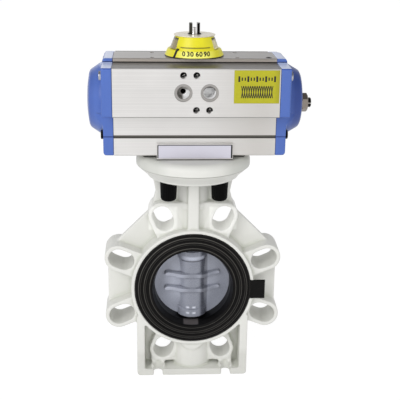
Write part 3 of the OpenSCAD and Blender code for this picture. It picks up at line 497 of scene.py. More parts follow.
class Finish(Nodes):
    """One material. Patterns read Object coordinates, given to nodes as sizes in millimetres."""

    def __init__(self, name):
        self.material = bpy.data.materials.new(name)
        self.material.use_nodes = True
        super().__init__(self.material.node_tree)
        self.shader = self.tree.nodes["Principled BSDF"]
        self.place = self.add("TexCoord").outputs["Object"]

    def give(self, **inputs):
        """Fills inputs of the material's shader."""
        for key, value in inputs.items():
            self.fill(self.shader.inputs[key.replace("_", " ")], value)

    def noise(self, size, detail=2.0, rough=0.5):
        """Cloudy pattern whose lumps are as long in X, Y and Z as size says."""
        size = (size,) * 3 if isinstance(size, (int, float)) else size
        scaled = self.add("Mapping", Vector=self.place, Scale=tuple(1 / (s * MM) for s in size))
        return self.add("TexNoise", Vector=scaled.outputs["Vector"], Scale=1.0, Detail=detail,
                        Roughness=rough).outputs["Fac"]

    def shades(self, value, start, end, colour, spread):
        """Colour that a value between start and end lifts from its darker share, the spread."""
        node = self.add("ValToRGB", Fac=value)
        for element, place, share in zip(node.color_ramp.elements, (start, end), (spread, 1.0)):
            element.position = place
            element.color = (*(c * share for c in colour), 1)
        return node.outputs["Color"]

    def over(self, share, under, upper):
        """Upper colour laid over the colour of a node's output where share is 1."""
        return self.add("Mix", {"data_type": "RGBA"},
                        {0: share, 6: under, 7: (*upper, 1)}).outputs[2]

    def tint(self, share, colour):
        """Lays a colour over the shader's own colour where share is 1."""
        base = self.shader.inputs["Base Color"].links[0].from_socket
        self.give(Base_Color=self.over(share, base, colour))

    def marked(self, code):
        """Lays a colour over the finish where the piece's own marks are 1."""
        self.tint(self.add("Attribute", {"attribute_name": "mark"}).outputs["Fac"], linear(code))

    def patch(self, code, soft=0.1, **spans):
        """Lays a colour over a box given by its millimetre spans along the named axes. Its edges
        fade over soft, or over a span's own third number."""
        along = self.add("SeparateXYZ", Vector=self.place).outputs
        share = 1.0
        for axis, (low, high, *own) in spans.items():
            fade = own[0] if own else soft
            rise = self.level(along[axis], 0.0, 1.0, (low - fade) * MM, (low + fade) * MM)
            fall = self.level(along[axis], 1.0, 0.0, (high - fade) * MM, (high + fade) * MM)
            for edge in (rise, fall):
                share = self.figure("MULTIPLY", share, edge)
        self.tint(share, linear(code))

    def bump(self, height, depth):
        """Fine relief that is depth millimetres deep."""
        node = self.add("Bump", Height=height, Distance=depth * MM, Strength=1.0)
        self.give(Normal=node.outputs["Normal"])


def moulded(name, colour, rough, grain, drift, depth, spread):
    """Moulded plastic or rubber: colour drifts slowly between two shades, a fine grain breaks up
    the gloss, and a shallow texture of the same grain dents it."""
    made = Finish(name)
    slow = made.noise(drift, 3.0)
    fine = made.noise(grain, 2.0)
    made.give(Base_Color=made.shades(slow, 0.3, 0.7, colour, spread),
              Roughness=made.level(fine, rough - 0.05, rough + 0.07))
    made.bump(fine, depth)
    return made


def brushed(name, colour, rough, lines, depth, spread, metal):
    """Machined or extruded metal: long thin streaks along the tool's path shift the shade, the
    gloss and the height together, over a slow change of tone."""
    made = Finish(name)
    made.give(Metallic=metal)
    streak = made.noise(lines, 3.0, 0.6)
    slow = made.noise(45.0, 2.0)
    tone = made.figure("ADD", made.level(streak, 0.0, 0.6), made.level(slow, 0.0, 0.4))
    made.give(Base_Color=made.shades(tone, 0.15, 0.85, colour, spread),
              Roughness=made.level(streak, rough - 0.06, rough + 0.08))
    made.bump(streak, depth)
    return made


def cast(name, colour, rough):
    """Painted casting: an orange-peel surface under a thin gloss, with a slow change of shade and
    specks of slightly paler paint."""
    made = Finish(name)
    slow = made.noise(60.0, 2.0)
    peel = made.noise(1.3, 2.0)
    speck = made.noise(0.35, 2.0)
    base = made.shades(slow, 0.3, 0.7, colour, 0.9)
    pale = tuple(min(1.0, c * 1.25 + 0.03) for c in colour)
    made.give(Base_Color=made.over(made.level(speck, 0.0, 0.25, 0.62, 0.72), base, pale),
              Roughness=made.level(peel, rough - 0.04, rough + 0.06))
    made.bump(peel, 0.02)
    return made


# Sizes and colours that a user would change

def paint(label, about, code):
    """Colour property."""
    return FloatVectorProperty(name=label, description=about, subtype="COLOR", size=3, min=0.0,
                               max=1.0, default=linear(code))


def length(label, about, millimetres):
    """Length property."""
    return FloatProperty(name=label, description=about, unit="LENGTH", subtype="DISTANCE",
                         default=millimetres * MM, precision=5)


class ValveColours(bpy.types.PropertyGroup):
    """Colours of the pieces."""
    plastic: paint("Valve plastic", "Off-white moulded plastic of the valve", "dfdfda")
    rubber: paint("Liner rubber", "Black rubber of the liner", "100f0f")
    disc: paint("Disc plastic", "Blue-grey plastic of the disc", "b0b4c2")
    aluminium: paint("Body aluminium", "Clear anodised extrusion", "e4e2e0")
    blue: paint("Cap paint", "Blue paint of the end caps", "4e6cb8")
    yellow: paint("Indicator yellow", "Yellow plastic of the position indicator", "ebe221")
    label: paint("Label yellow", "Printed yellow of the spring label", "b1ad06")
    ink: paint("Ink", "Black ink of marks and prints", "141210")
    smoke: paint("Window", "Smoky clear plastic beside the yellow panels", "b8ab7e")
    steel: paint("Steel", "Bright steel of the shaft and screws", "c8c8ca")
    cap: paint("Bolt cap", "Black plastic of the bolt caps", "040404")


class ValveSizes(bpy.types.PropertyGroup):
    """Sizes of the details that the frame doesn't set."""
    fillet: length("Moulding cell", "Cell that sets how soft the moulded edges are", 0.85)
    ridge: length("Liner ridge", "Height of the liner's sealing ridges", 1.5)
    flute: length("Cap flute", "Depth of the flutes round a bolt cap", 0.35)
    flutes: IntProperty(name="Cap flutes", description="Number of flutes round a bolt cap",
                        default=28, min=8, max=60)
    thread: length("Thread pitch", "Pitch of the threads in the ports", 1.34)
    digit: length("Digit height", "Height of the indicator's numbers", 4.3)
    wire: length("Spring wire", "Thickness of the return springs' wire", 3.5)
    turns: FloatProperty(name="Spring turns", description="Number of turns of a return spring",
                         default=6.5, min=4.0, max=9.0)


def colours():
    """Colours in use."""
    return bpy.context.scene.valve_colours


def sizes():
    """Sizes in use."""
    return bpy.context.scene.valve_sizes


class FINISHES:
    """Finishes that several pieces share, made by the first operator."""


def make_finishes():
    """Every shared finish, from the colours in use."""
    made, c = FINISHES, colours()
    # Finish, material, colour, roughness, size of the grain and of the drift, depth and spread
    for key, name, colour, *numbers in (
            ("plastic", "moulded_off_white", c.plastic, 0.42, 0.7, 22.0, 0.015, 0.965),
            ("turned_plastic", "turned_off_white", c.plastic, 0.42, 0.7, 22.0, 0.015, 0.965),
            ("rubber", "liner_black_rubber", c.rubber, 0.36, 0.5, 9.0, 0.03, 0.7),
            ("disc", "disc_blue_grey", c.disc, 0.27, 0.8, 12.0, 0.012, 0.93),
            ("cap", "bolt_cap_black", c.cap, 0.32, 0.5, 5.0, 0.02, 0.7),
            ("bearing", "bearing_plastic", linear("dcd6c2"), 0.4, 0.6, 8.0, 0.01, 0.92),
            ("seal", "seal_rubber", linear("191919"), 0.5, 0.4, 4.0, 0.01, 0.8),
            ("yellow", "indicator_yellow", c.yellow, 0.36, 0.6, 10.0, 0.008, 0.93),
            ("window", "indicator_window", c.smoke, 0.16, 0.8, 6.0, 0.006, 0.9),
            ("thread", "thread_wall", linear("a9a6a2"), 0.35, 0.5, 6.0, 0.006, 0.9),
            ("label", "label_yellow", c.label, 0.5, 0.6, 2.2, 0.01, 0.92),
            ("ink", "ink_black", c.ink, 0.5, 0.3, 2.0, 0.004, 0.7)):
        setattr(made, key, moulded(name, colour, *numbers))
    made.rubber.give(Specular_IOR_Level=0.1)
    made.cap.give(Specular_IOR_Level=0.06)
    made.window.give(Transmission_Weight=0.45, IOR=1.49)
    made.thread.give(Metallic=0.15)
    # Finish, material, colour, roughness, length of the streaks in X, Y and Z, depth, spread, metal
    for key, name, colour, *numbers in (
            ("aluminium", "anodised_extrusion", c.aluminium, 0.36, (260, 0.9, 0.9), 0.004, 0.88,
             0.75),
            ("piston", "turned_aluminium", linear("cfcfd0"), 0.3, (0.5, 60, 60), 0.006, 0.9, 1.0),
            ("steel", "bright_steel", c.steel, 0.16, (30, 30, 0.5), 0.002, 0.9, 1.0),
            # The shaft's dark tone stands in for painted dark reflections beside its bright stripe
            ("shaft", "shaft_steel", linear("403e36"), 0.2, (30, 30, 0.5), 0.002, 0.9, 1.0),
            ("screw", "plated_screw", linear("bcbcc0"), 0.28, (0.4, 9, 9), 0.006, 0.9, 1.0),
            ("dark_steel", "dark_spring_steel", linear("54555a"), 0.35, (2, 2, 2), 0.006, 0.9,
             1.0),
            ("black_steel", "black_oxide_steel", linear("1d1c1c"), 0.3, (0.6, 5, 5), 0.006, 0.9,
             0.6),
            ("nut", "plated_nut", linear("988f87"), 0.3, (0.5, 6, 6), 0.006, 0.9, 1.0),
            ("plate", "nameplate_anodised", linear("d6d4e0"), 0.38, (160, 2, 0.6), 0.003, 0.93,
             0.6),
            ("top_plate", "indicator_plate_metal", linear("f0e8d4"), 0.3, (40, 0.7, 4), 0.006, 0.9,
             0.15)):
        setattr(made, key, brushed(name, colour, *numbers))
    made.paint = cast("cap_blue_paint", c.blue, 0.36)
    made.paint.give(Coat_Weight=0.35, Coat_Roughness=0.2, Coat_IOR=1.45, Specular_IOR_Level=0.25)
    tone_valve(made)
    tone_actuator(made)
    tone_indicator(made)


def tone_valve(made):
    """Tones by place on the valve, most of them painted light: painted shade low on the foot, in
    the body's creases, on the adapter's sides, inside the bore and on the disc, painted light in
    the arms, a painted shadow in the gap under the actuator, painted highlights on the disc and on
    the liner's ridges, a painted reflection on the liner under the disc, and a dark seam line under
    the adapter.
    """
    # Painted shade: the front of the foot is darker towards the bottom.
    made.plastic.patch("cdcdc7", 4.0, Z=(-120, -70), Y=(-80, -22))
    # Painted light: the insides of the arms beside the upper lugs are paler.
    for left, right in ((-44, -16), (16, 44)):
        made.plastic.patch("f6f6f2", 1.0, X=(left, right), Y=(-15, 15), Z=(56, 84))
    # Painted shade in the body's creases and corners, from the hollow marks.
    made.plastic.marked("b9bdae")
    # Painted shade: the adapter's round sides darken towards both ends.
    for left, right in ((-80, -30), (30, 80)):
        made.turned_plastic.patch("d0d1cb", 6.0, X=(left, right))
    made.turned_plastic.patch("a3a49c", Z=(125.2, 126.1))
    # Painted shadow in the gap under the actuator, on the adapter's top.
    made.turned_plastic.patch("55554f", Z=(136.4, 140), Y=(-21.5, 21.5, 0.5))
    # Painted shade: the liner's bore is nearly black inside.
    made.rubber.patch("040404", 2.0, Y=(-18, 18))
    # Painted reflection of the disc's hub on the liner below the disc.
    made.rubber.patch("545051", 0.6, X=(-9, 6), Y=(-22.5, -13), Z=(-41, -35))
    # Painted highlights on the liner's ridge crests.
    made.rubber.marked("6b6964")
    # Painted shade on the disc, from disc_shade's marks.
    made.disc.marked("3c3e48")
    # A painted shade line and a painted highlight band across the top of the hub.
    made.disc.patch("4f525c", 0.4, X=(-11, 12), Z=(24.6, 25.6))
    made.disc.patch("b6bac8", 0.8, X=(-11, 12), Z=(26.4, 30.5))
    # Painted glints: four small highlights on the lower boss.
    for left in (-6.3, 0.2):
        for foot in (-26.2, -31.8):
            made.disc.patch("d9dce8", 0.7, X=(left, left + 3.2), Z=(foot, foot + 1.6))


def tone_actuator(made):
    """Tones by place on the actuator, most of them painted light: painted shade on the body's right
    side, in its groove, under its step and its bottom, in the ports and holes, on the domes, the
    caps' steps, the lower screws, the nameplate's rim and the spring label; painted shade and
    reflection on the top ledges and the pad's front; painted highlights on the lit walls of the
    ports and holes and on the caps' upward ledges; a pale line along the stop screw; and dark seam
    lines where the caps meet the body."""
    body = made.aluminium
    # Painted shade: the body darkens towards its right side.
    body.patch("cfccc8", 26.0, X=(30, 90))
    # Painted shade in the groove, under the step and along the bottom of the body.
    for code, low, high in (("5f5d58", 157.5, 160.5), ("a9a8a6", 181.8, 182.9),
                            ("3d3c38", 136.0, 137.9)):
        body.patch(code, Z=(low, high))
    # Painted shade inside the port counterbores.
    body.patch("a5a29f", Y=(-50.2, -31), Z=(196, 214))
    # Painted shade in the upper part of each hole and a painted highlight on its lower right wall.
    deep = (-50.85, -31)
    for x, z in HOLE_PLACES:
        body.patch("121110", X=(x - 3.4, x + 3.4), Y=deep, Z=(z - 1.8, z + 3.4))
        body.patch("fcfaf7", X=(x + 0.4, x + 3.4), Y=deep, Z=(z - 3.5, z - 0.8))
    # Painted reflection and shade on the top: darker ledges and pad front, and a painted shadow
    # line at the pad's foot.
    for code, low, high in (("b8b5b4", 227.3, 240.0), ("c9c1b8", 227.7, 231.2),
                            ("1c1914", 227.5, 228.4)):
        body.patch(code, Z=(low, high))
    # Painted shade and painted highlights on the port threads: dark where the key light doesn't
    # reach, white where it falls.
    for code, left, right, low, high in (
            ("75726d", -19, -12.4, 198, 212), ("ffffff", -12.2, -5, 198, 206.5),
            ("35322f", 5, 19, 207.4, 212), ("ffffff", 5, 19, 198, 206.8)):
        made.thread.patch(code, X=(left, right, 0.9), Z=(low, high, 0.7))
    # Painted highlight: the caps' upward ledges are paler.
    made.paint.marked("c9d3f0")
    # Painted shade on the domes in the first two rows; the last two are dark seam lines where the
    # caps meet the body.
    for code, left, right, soft in (("314a92", 90.0, 125.0, 4.0), ("4661ab", -125.0, -96.0, 3.0),
                                    ("26345e", 76.0, 76.9, 0.1), ("26345e", -76.9, -76.0, 0.1)):
        made.paint.patch(code, soft, X=(left, right))
    # Painted shade lines on the caps at the ledge, the step and the groove's height.
    for code, low, high in (("3450a0", 226.3, 227.2), ("26345e", 228.0, 228.7),
                            ("2b4486", 158.3, 159.7), ("3450a0", 181.7, 182.5)):
        made.paint.patch(code, Z=(low, high), X=(-86.4, 86.4))
    # Painted shade: the lower cap screws are dark in their pockets.
    made.screw.patch("161616", Z=(154, 166))
    made.black_steel.patch("d8d4ce", Z=(185.5, 186.5), X=(110, 140))
    # Painted shade round the nameplate's rim, darkest on the right.
    made.plate.patch("333232", X=(-40, -34.5))
    made.plate.patch("141313", X=(34.1, 40))
    made.plate.patch("4d4b4c", Z=(151.4, 154))
    # Painted shade on the spring label's edge and right side.
    made.label.marked("8f8a12")


def tone_indicator(made):
    """Tones by place on the indicator and the shaft: painted shade in the dented lines, under the
    skirt and under the top plate, painted highlights on the skirt's front and on the right window,
    and painted reflections on the shaft and the ring.
    """
    # Painted shade in the dented line round the panels.
    made.yellow.marked("928b2c")
    # Painted highlight on the front of the skirt.
    made.yellow.patch("fffb78", Z=(232.6, 238.2, 0.3), X=(-15, 15, 5.0))
    # Painted shadow along the foot of the skirt.
    made.yellow.patch("4a4114", Z=(231, 232.6))
    # Painted light: the right window is paler.
    made.window.patch("fff8d0", 4.0, X=(0, 40))
    # Painted shadow on the windows' tops under the plate.
    made.window.patch("5f5636", 0.6, Z=(247.2, 260))
    # Painted reflections on the shaft and ring: a dark right side and a bright middle stripe, with
    # a thin painted shadow line in it.
    for code, left, right, soft in (("0d0c08", 2.2, 9.0, 0.3), ("f4f2f2", -2.2, 2.2, 0.3),
                                    ("8c8681", -0.5, 0.4, 0.2)):
        made.shaft.patch(code, soft, X=(left, right))


# Figures and lines in print

def numbers(text, height):
    """Flat filled figures of a text, in millimetres across and up, as a mesh. The height of a
    figure is 0.69 of the type's size, and the offset makes its strokes bolder."""
    curve = bpy.data.curves.new("figures", "FONT")
    curve.body = text
    curve.size = height / 0.69
    curve.align_x = "CENTER"
    curve.resolution_u = 4
    curve.space_character = 1.1
    curve.offset = height * 0.035
    thing = bpy.data.objects.new("figures", curve)
    bpy.context.scene.collection.objects.link(thing)
    mesh = baked_mesh(thing)
    bpy.data.objects.remove(thing)
    bpy.data.curves.remove(curve)
    return mesh


def on_cone(points, mid_deg, low, high, share, lift):
    """Places flat points on a cone about Z: across becomes an angle, its length over the radius,
    up becomes a share of the cone's slant, and the third value lifts them off the surface."""
    low, high = np.array(low, float), np.array(high, float)
    slant = high - low
    size = np.linalg.norm(slant)
    out = np.array([slant[1], -slant[0]]) / size
    along = share + points[:, 1] / size
    rz = low + along[:, None] * slant + (points[:, 2:3] + lift) * out
    angle = np.radians(mid_deg) + points[:, 0] / rz[:, 0]
    return np.stack([rz[:, 0] * np.cos(angle), rz[:, 0] * np.sin(angle), rz[:, 1]], axis=-1)


def raised(mesh, height):
    """Closed solid figures: the flat faces are copied up by the height and walls join the rims."""
    work = bmesh.new()
    work.from_mesh(mesh)
    bmesh.ops.remove_doubles(work, verts=work.verts, dist=1e-5)
    found = bmesh.ops.extrude_face_region(work, geom=work.faces[:])
    moved = [g for g in found["geom"] if isinstance(g, bmesh.types.BMVert)]
    bmesh.ops.translate(work, verts=moved, vec=(0, 0, height))
    bmesh.ops.recalc_face_normals(work, faces=work.faces)
    work.to_mesh(mesh)
    work.free()
    return mesh


def stroke(path, wide, low, high):
    """Flat printed line: a path across and up is widened by half of its width to both sides along
    its own normal, and given a thickness in Y."""
    path = np.asarray(path, float)
    run = np.gradient(path, axis=0)
    normal = np.stack([-run[:, 1], run[:, 0]], axis=-1)
    normal *= wide / 2 / np.linalg.norm(normal, axis=1)[:, None]
    sides = [path + normal, path - normal, path - normal, path + normal]
    return capped(np.stack([np.insert(side, 1, y, axis=1)
                            for side, y in zip(sides, (low, low, high, high))], axis=1))


# Operators

class VALVE_OT_frame(bpy.types.Operator):
    """Finish the frame's own pieces"""
    bl_idname = "valve.frame"
    bl_label = "Frame pieces"

    def execute(self, context):
        make_finishes()
        made = FINISHES
        kept = {
            made.bearing: ("lower_stem_bush", "middle_stem_bush", "upper_stem_bush",
                           "thrust_washer", "lower_pinion_bush", "upper_pinion_bush",
                           "left_piston_guides", "right_piston_guides"),
            made.seal: ("stem_o_rings", "left_cap_seal", "right_cap_seal", "pinion_o_rings",
                        "left_piston_o_ring", "right_piston_o_ring", "stop_seal_washer"),
            made.dark_steel: ("stem_circlip", "pinion_circlip"),
            made.screw: ("flange_bolts", "disc_key", "drive_insert"),
            made.steel: ("stem",),
            made.shaft: ("pinion",),
            made.aluminium: ("actuator_body",),
            made.piston: ("left_piston", "right_piston"),
        }
        for finish, names in kept.items():
            for name in names:
                thing = frame["nodes"][name]
                for slot in thing.material_slots:
                    slot.material = finish.material
                weld = thing.modifiers.new("weld", "WELD")
                weld.merge_threshold = WELD
                even_normals(thing)
        return {"FINISHED"}


class VALVE_OT_body(bpy.types.Operator):
    """Mould the valve body with soft edges"""
    bl_idname = "valve.body"
    bl_label = "Valve body"

    def execute(self, context):
        body = softened("valve_body_moulding", "valve_body", voxel=sizes().fillet / MM, passes=4,
                        budget=195000, hollow_passes=24, hollow_depth=1.2)
        settle(body, "housing", FINISHES.plastic, "valve_plastic", "valve_body")
        return {"FINISHED"}


class VALVE_OT_adapter(bpy.types.Operator):
    """Turn the adapter plate between valve and actuator"""
    bl_idname = "valve.adapter"
    bl_label = "Adapter plate"

    def execute(self, context):
        low, high = span("adapter_plate")
        rim = high[0]
        thick = high[2] - low[2]
        bore = 20.5
        bevel = 4.0
        outline = eased([
            (bore, CLEAR), (rim - 0.5, CLEAR), (rim, 0.6), (rim, thick - bevel),
            (rim - bevel, thick - CLEAR), (bore, thick - CLEAR), (bore, CLEAR),
        ], [0, 0.3, 0.4, 3.0, 3.0, 0.5, 0])
        make("adapter_plate_turned", turned(outline, (0, 0, low[2]), "Z", 192),
             "housing", FINISHES.turned_plastic, "valve_plastic", "adapter_plate")
        return {"FINISHED"}


class VALVE_OT_liner(bpy.types.Operator):
    """Turn the rubber liner with its sealing ridges and its gripping tab"""
    bl_idname = "valve.liner"
    bl_label = "Liner"

    def execute(self, context):
        half = span("valve_liner")[1][1]
        sides = 190
        outline = self.outline(half, sizes().ridge / MM)
        ring = turned(outline, ORIGIN, "Y", sides)
        face = np.abs(outline[:, 1]) > half - 1.0
        # Thin paler rings on the ridge crests, marked for painted highlights
        lines = ((43.5, 0.7), (47.4, 0.3), (49.4, 0.7), (52.7, 0.3), (54.7, 0.8), (57.4, 0.3))
        crests = sum(near(outline[:, 0], r, 0.3) * share for r, share in lines) * face
        tab = self.tab(np.array([55.5, -half + 1.25, -11.5]), np.array([72.9, -half + 3.0, 8.5]))
        marks = np.concatenate([np.repeat(crests, sides), np.zeros(len(tab[0]))])
        make("liner_ridged", joined([ring, tab]), "housing", FINISHES.rubber, "liner_rubber",
             "valve_liner", smooth_deg=50, marks=marks)
        return {"FINISHED"}

    def outline(self, half, dip):
        """Section of the ring as radius and place along Y: on each face three crests stand over
        valleys that are as deep as the dip, and a groove runs round the outside."""
        bore, rim, groove = 38.5, 58.45, 45.96
        mouth = bore + 2.2
        crest_to_rim = [
            (bore, 8.8), (mouth, 0.5), (mouth + 0.6, 0), (42.8, 0), (43.6, 0.3),
            (44.3, dip), (46.4, dip), (47.2, 0.3), (48.3, 0), (49.4, 0.3),
            (50.2, dip), (51.8, dip), (52.5, 0.3), (53.6, 0), (54.7, 0.3),
            (55.3, dip), (56.6, dip), (57.2, 1.0), (58.0, 0.9), (rim, 1.5),
        ]
        ridge = [(r, half - depth) for r, depth in crest_to_rim]
        back = half - 5.96
        front = [(r, -y) for r, y in ridge]
        outline = front + [(rim, -back), (groove, -back), (groove, back), (rim, back)]
        outline += ridge[::-1] + [(bore, 0.0), front[0]]
        return finer(eased(outline, 0.5, 3), 0.4)

    def tab(self, low, high):
        """Tab over a box: its front rises from a soft edge on three sides, by crossed waves of 2.5
        mm up and 4.5 mm across of which the higher counts."""
        x, z, a, b = grid(low, high, 64)
        edge = np.minimum(np.minimum(1 - a, np.minimum(b, 1 - b)) * 9, 1)
        rib = 0.5 + 0.5 * np.cos(z * 2 * np.pi / 2.5)
        lane = 0.5 + 0.5 * np.cos((x - 60) * 2 * np.pi / 4.5)
        skin = low[1] + 0.75 - edge ** 0.5 * (0.35 + 0.4 * np.maximum(rib, lane * 0.8))
        return sandwich(np.stack([x, skin, z], axis=-1),
                        np.stack([x, np.full_like(x, high[1]), z], axis=-1))


def rib_edge(x, z, middle):
    """Distance from a cross rib's middle line, which rises to the right, and the half width of the
    rib there, which ends in a round."""
    past = np.maximum(np.abs(x) - RIB_END + 3.0, 0) / 3.0
    wide = RIB_HALF * np.sqrt(np.clip(1 - past ** 2, 0.0, 1))
    lifted = middle + 1.9 * step(x, 6.0, 30.0) + 0.8 * step(-x, 8.0, 22.0)
    return np.abs(z - lifted), wide


def disc_shade(x, z):
    """Painted shade of the disc: lines along the ribs' feet, the hub's lee side and the wing behind
    it, the middle of the hub and rings near both bosses.
    """
    shade = 0.62 * step(x, 6.8, 10.5) * (1 - step(x, 14.5, 16.5)) + 0.25 * step(x, 14.0, 18.0)
    shade = shade + 0.5 * near(x, 0.0, 11.0)
    for middle in RIB_MIDDLES:
        edge, wide = rib_edge(x, z, middle)
        foot = near(edge, wide + 0.2, 0.5) * (np.abs(x) < RIB_END - 0.4)
        shade = np.maximum(shade, foot * (0.75 - 0.35 * step(np.abs(x), 6.0, 24.0)))
    rings = near(np.abs(z), 26.6, 0.45) * (np.abs(x) < 15.0) * 0.5
    return np.clip(np.maximum(shade, rings), 0, 1)


def disc_height(x, z):
    """Height of the disc's face over its middle plane: a lens, the round hub of the stem, wider
    bosses at both ends and two cross ribs are joined by filled creases, and a ball cuts them all.
    A rib stays level with the hub on one side and sinks into the lens on the other."""
    r = np.hypot(x, z)
    lens = 2.5 + 4.2 * (1 - step(r, 17.0, 37.0))
    hub = np.sqrt(np.maximum(HUB_RADIUS ** 2 - x ** 2, 0.01))
    height = soft_top(lens, hub, 1.6)
    boss = np.sqrt(np.maximum(BOSS_RADIUS ** 2 - x ** 2, 0.01)) * step(np.abs(z), 26.2, 27.4)
    height = soft_top(height, boss, 0.5)
    for middle in RIB_MIDDLES:
        level = 14.4 - 4.4 * step(-x, 9.0, 24.0) - 7.0 * step(x, 9.0, 27.0)
        edge, wide = rib_edge(x, z, middle)
        share = 1 - step(edge, wide - 0.75, wide + 0.35)
        crown = level - 0.5 * (edge / RIB_HALF) ** 2
        rib = share * np.where(np.abs(x) < RIB_END, crown, 0)
        height = soft_top(height, rib, 0.45)
    ball = np.sqrt(np.maximum(BALL_RADIUS ** 2 - r ** 2, 0.0))
    return np.minimum(height, ball)


class VALVE_OT_disc(bpy.types.Operator):
    """Mould the disc with its hub, bosses and cross ribs"""
    bl_idname = "valve.disc"
    bl_label = "Disc"

    def execute(self, context):
        even = np.linspace(-1, 1, 180)[:, None]
        x = DISC_REACH * (np.sin(even * np.pi / 2) * 0.5 + even * 0.5) * np.ones((1, 200))
        z = np.sqrt(np.maximum(DISC_REACH ** 2 - x ** 2, 0)) * np.linspace(-1, 1, 200)
        front = np.stack([x, -disc_height(x, z), z], axis=-1)
        back = np.stack([x, disc_height(-x, z), z], axis=-1)
        points, quads = lofted(np.concatenate([front, back[:, ::-1]], axis=1))
        shade = np.concatenate([disc_shade(x, z), disc_shade(-x, z)[:, ::-1]], axis=1)
        make("disc_moulding", (points, [quads]), "rotor", FINISHES.disc, "disc_plastic", "disc",
             smooth_deg=55, marks=shade)
        return {"FINISHED"}


class VALVE_OT_bolt_caps(bpy.types.Operator):
    """Mould the fluted caps over the flange bolts"""
    bl_idname = "valve.bolt_caps"
    bl_label = "Bolt caps"

    def execute(self, context):
        low, high = span("bolt_caps")
        top = high[0] - BOLT_CORNER
        tall = high[2] - low[2]
        bore = 6.6
        depth = sizes().flute / MM / top
        count = sizes().flutes

        def flutes(angle, height):
            """Radius share that dips between the ribs on the wall, and not at its rims."""
            wall = step(height, 1.2, 2.6) * (1 - step(height, tall - 2.0, tall - 1.2))
            return 1 - depth * wall * (0.5 + 0.5 * np.cos(angle * count)) ** 2

        outline = finer(eased([
            (0, CLEAR), (top - 2.6, CLEAR), (top - 0.75, 1.9), (top - 0.03, tall - CLEAR),
            (bore, tall - CLEAR), (bore, 6.0), (0, 6.0),
        ], 1.4, 5), 2.0)
        parts = [turned(outline, (x, y, low[2]), "Z", 224, flutes)
                 for x in (-BOLT_CORNER, BOLT_CORNER) for y in (-BOLT_CORNER, BOLT_CORNER)]
        make("bolt_caps_fluted", joined(parts), "housing", FINISHES.cap, "cap_plastic",
             "bolt_caps", smooth_deg=60)
        return {"FINISHED"}


class VALVE_OT_end_caps(bpy.types.Operator):
    """Cast both end caps with soft edges"""
    bl_idname = "valve.end_caps"
    bl_label = "End caps"

    def execute(self, context):
        for side in ("left", "right"):
            node = side + "_end_cap"
            cap = softened(side + "_cap_casting", node, voxel=0.8, passes=3, budget=110000)
            # Upward faces are marked for a painted highlight.
            up = numbers_of(cap.data.vertices, "normal", 3)[:, 2]
            put_marks(cap.data, step(up, 0.8, 0.97))
            settle(cap, "housing", FINISHES.paint, "cap_paint", node)
        return {"FINISHED"}


def socket_screw(place, axis, head_r, head_h, shank_r, shank_l, key):
    """Cap screw: a round head with a hexagon socket, its rim eased, on a plain shank."""
    socket = 0.6 * head_h
    return turned([
        (0, head_h - socket, 0), (key, head_h - socket, 6), (key, head_h - 0.25, 6),
        (key + 0.35, head_h, 6), (head_r - 0.5, head_h, 0), (head_r - 0.12, head_h - 0.14, 0),
        (head_r, head_h - 0.5, 0), (head_r, 0, 0), (shank_r, 0, 0), (shank_r, -shank_l, 0),
        (0, -shank_l, 0),
    ], place, axis, 48)


class VALVE_OT_screws(bpy.types.Operator):
    """Make the cap screws and the plug on the pad"""
    bl_idname = "valve.screws"
    bl_label = "Screws"

    def execute(self, context):
        head_h = 3.2
        for side, axis, out in (("left", "-X", -1), ("right", "X", 1)):
            low, high = span(side + "_cap_screws")
            seat = (high[0] if out > 0 else low[0]) - out * head_h
            shank = high[0] - low[0] - head_h
            parts = [socket_screw((seat, y, z), axis, head_r=4.3, head_h=head_h, shank_r=2.5,
                                  shank_l=shank, key=1.75) for y, z in SCREW_PLACES]
            make(side + "_screws", joined(parts), "housing", FINISHES.screw, "zinc_steel",
                 side + "_cap_screws")
        low, high = span("pad_plug")
        mid = (low + high) / 2
        plug = turned([
            (0, 2.6, 0), (1.5, 2.6, 6), (1.5, 5.05, 6), (1.75, 5.2, 6), (2.7, 5.2, 0), (3, 4.9, 0),
            (3, 0, 0), (0, 0, 0),
        ], (mid[0], mid[1], low[2]), "Z", 48)
        make("pad_plug_socket", plug, "housing", FINISHES.black_steel, "stop_steel", "pad_plug")
        return {"FINISHED"}


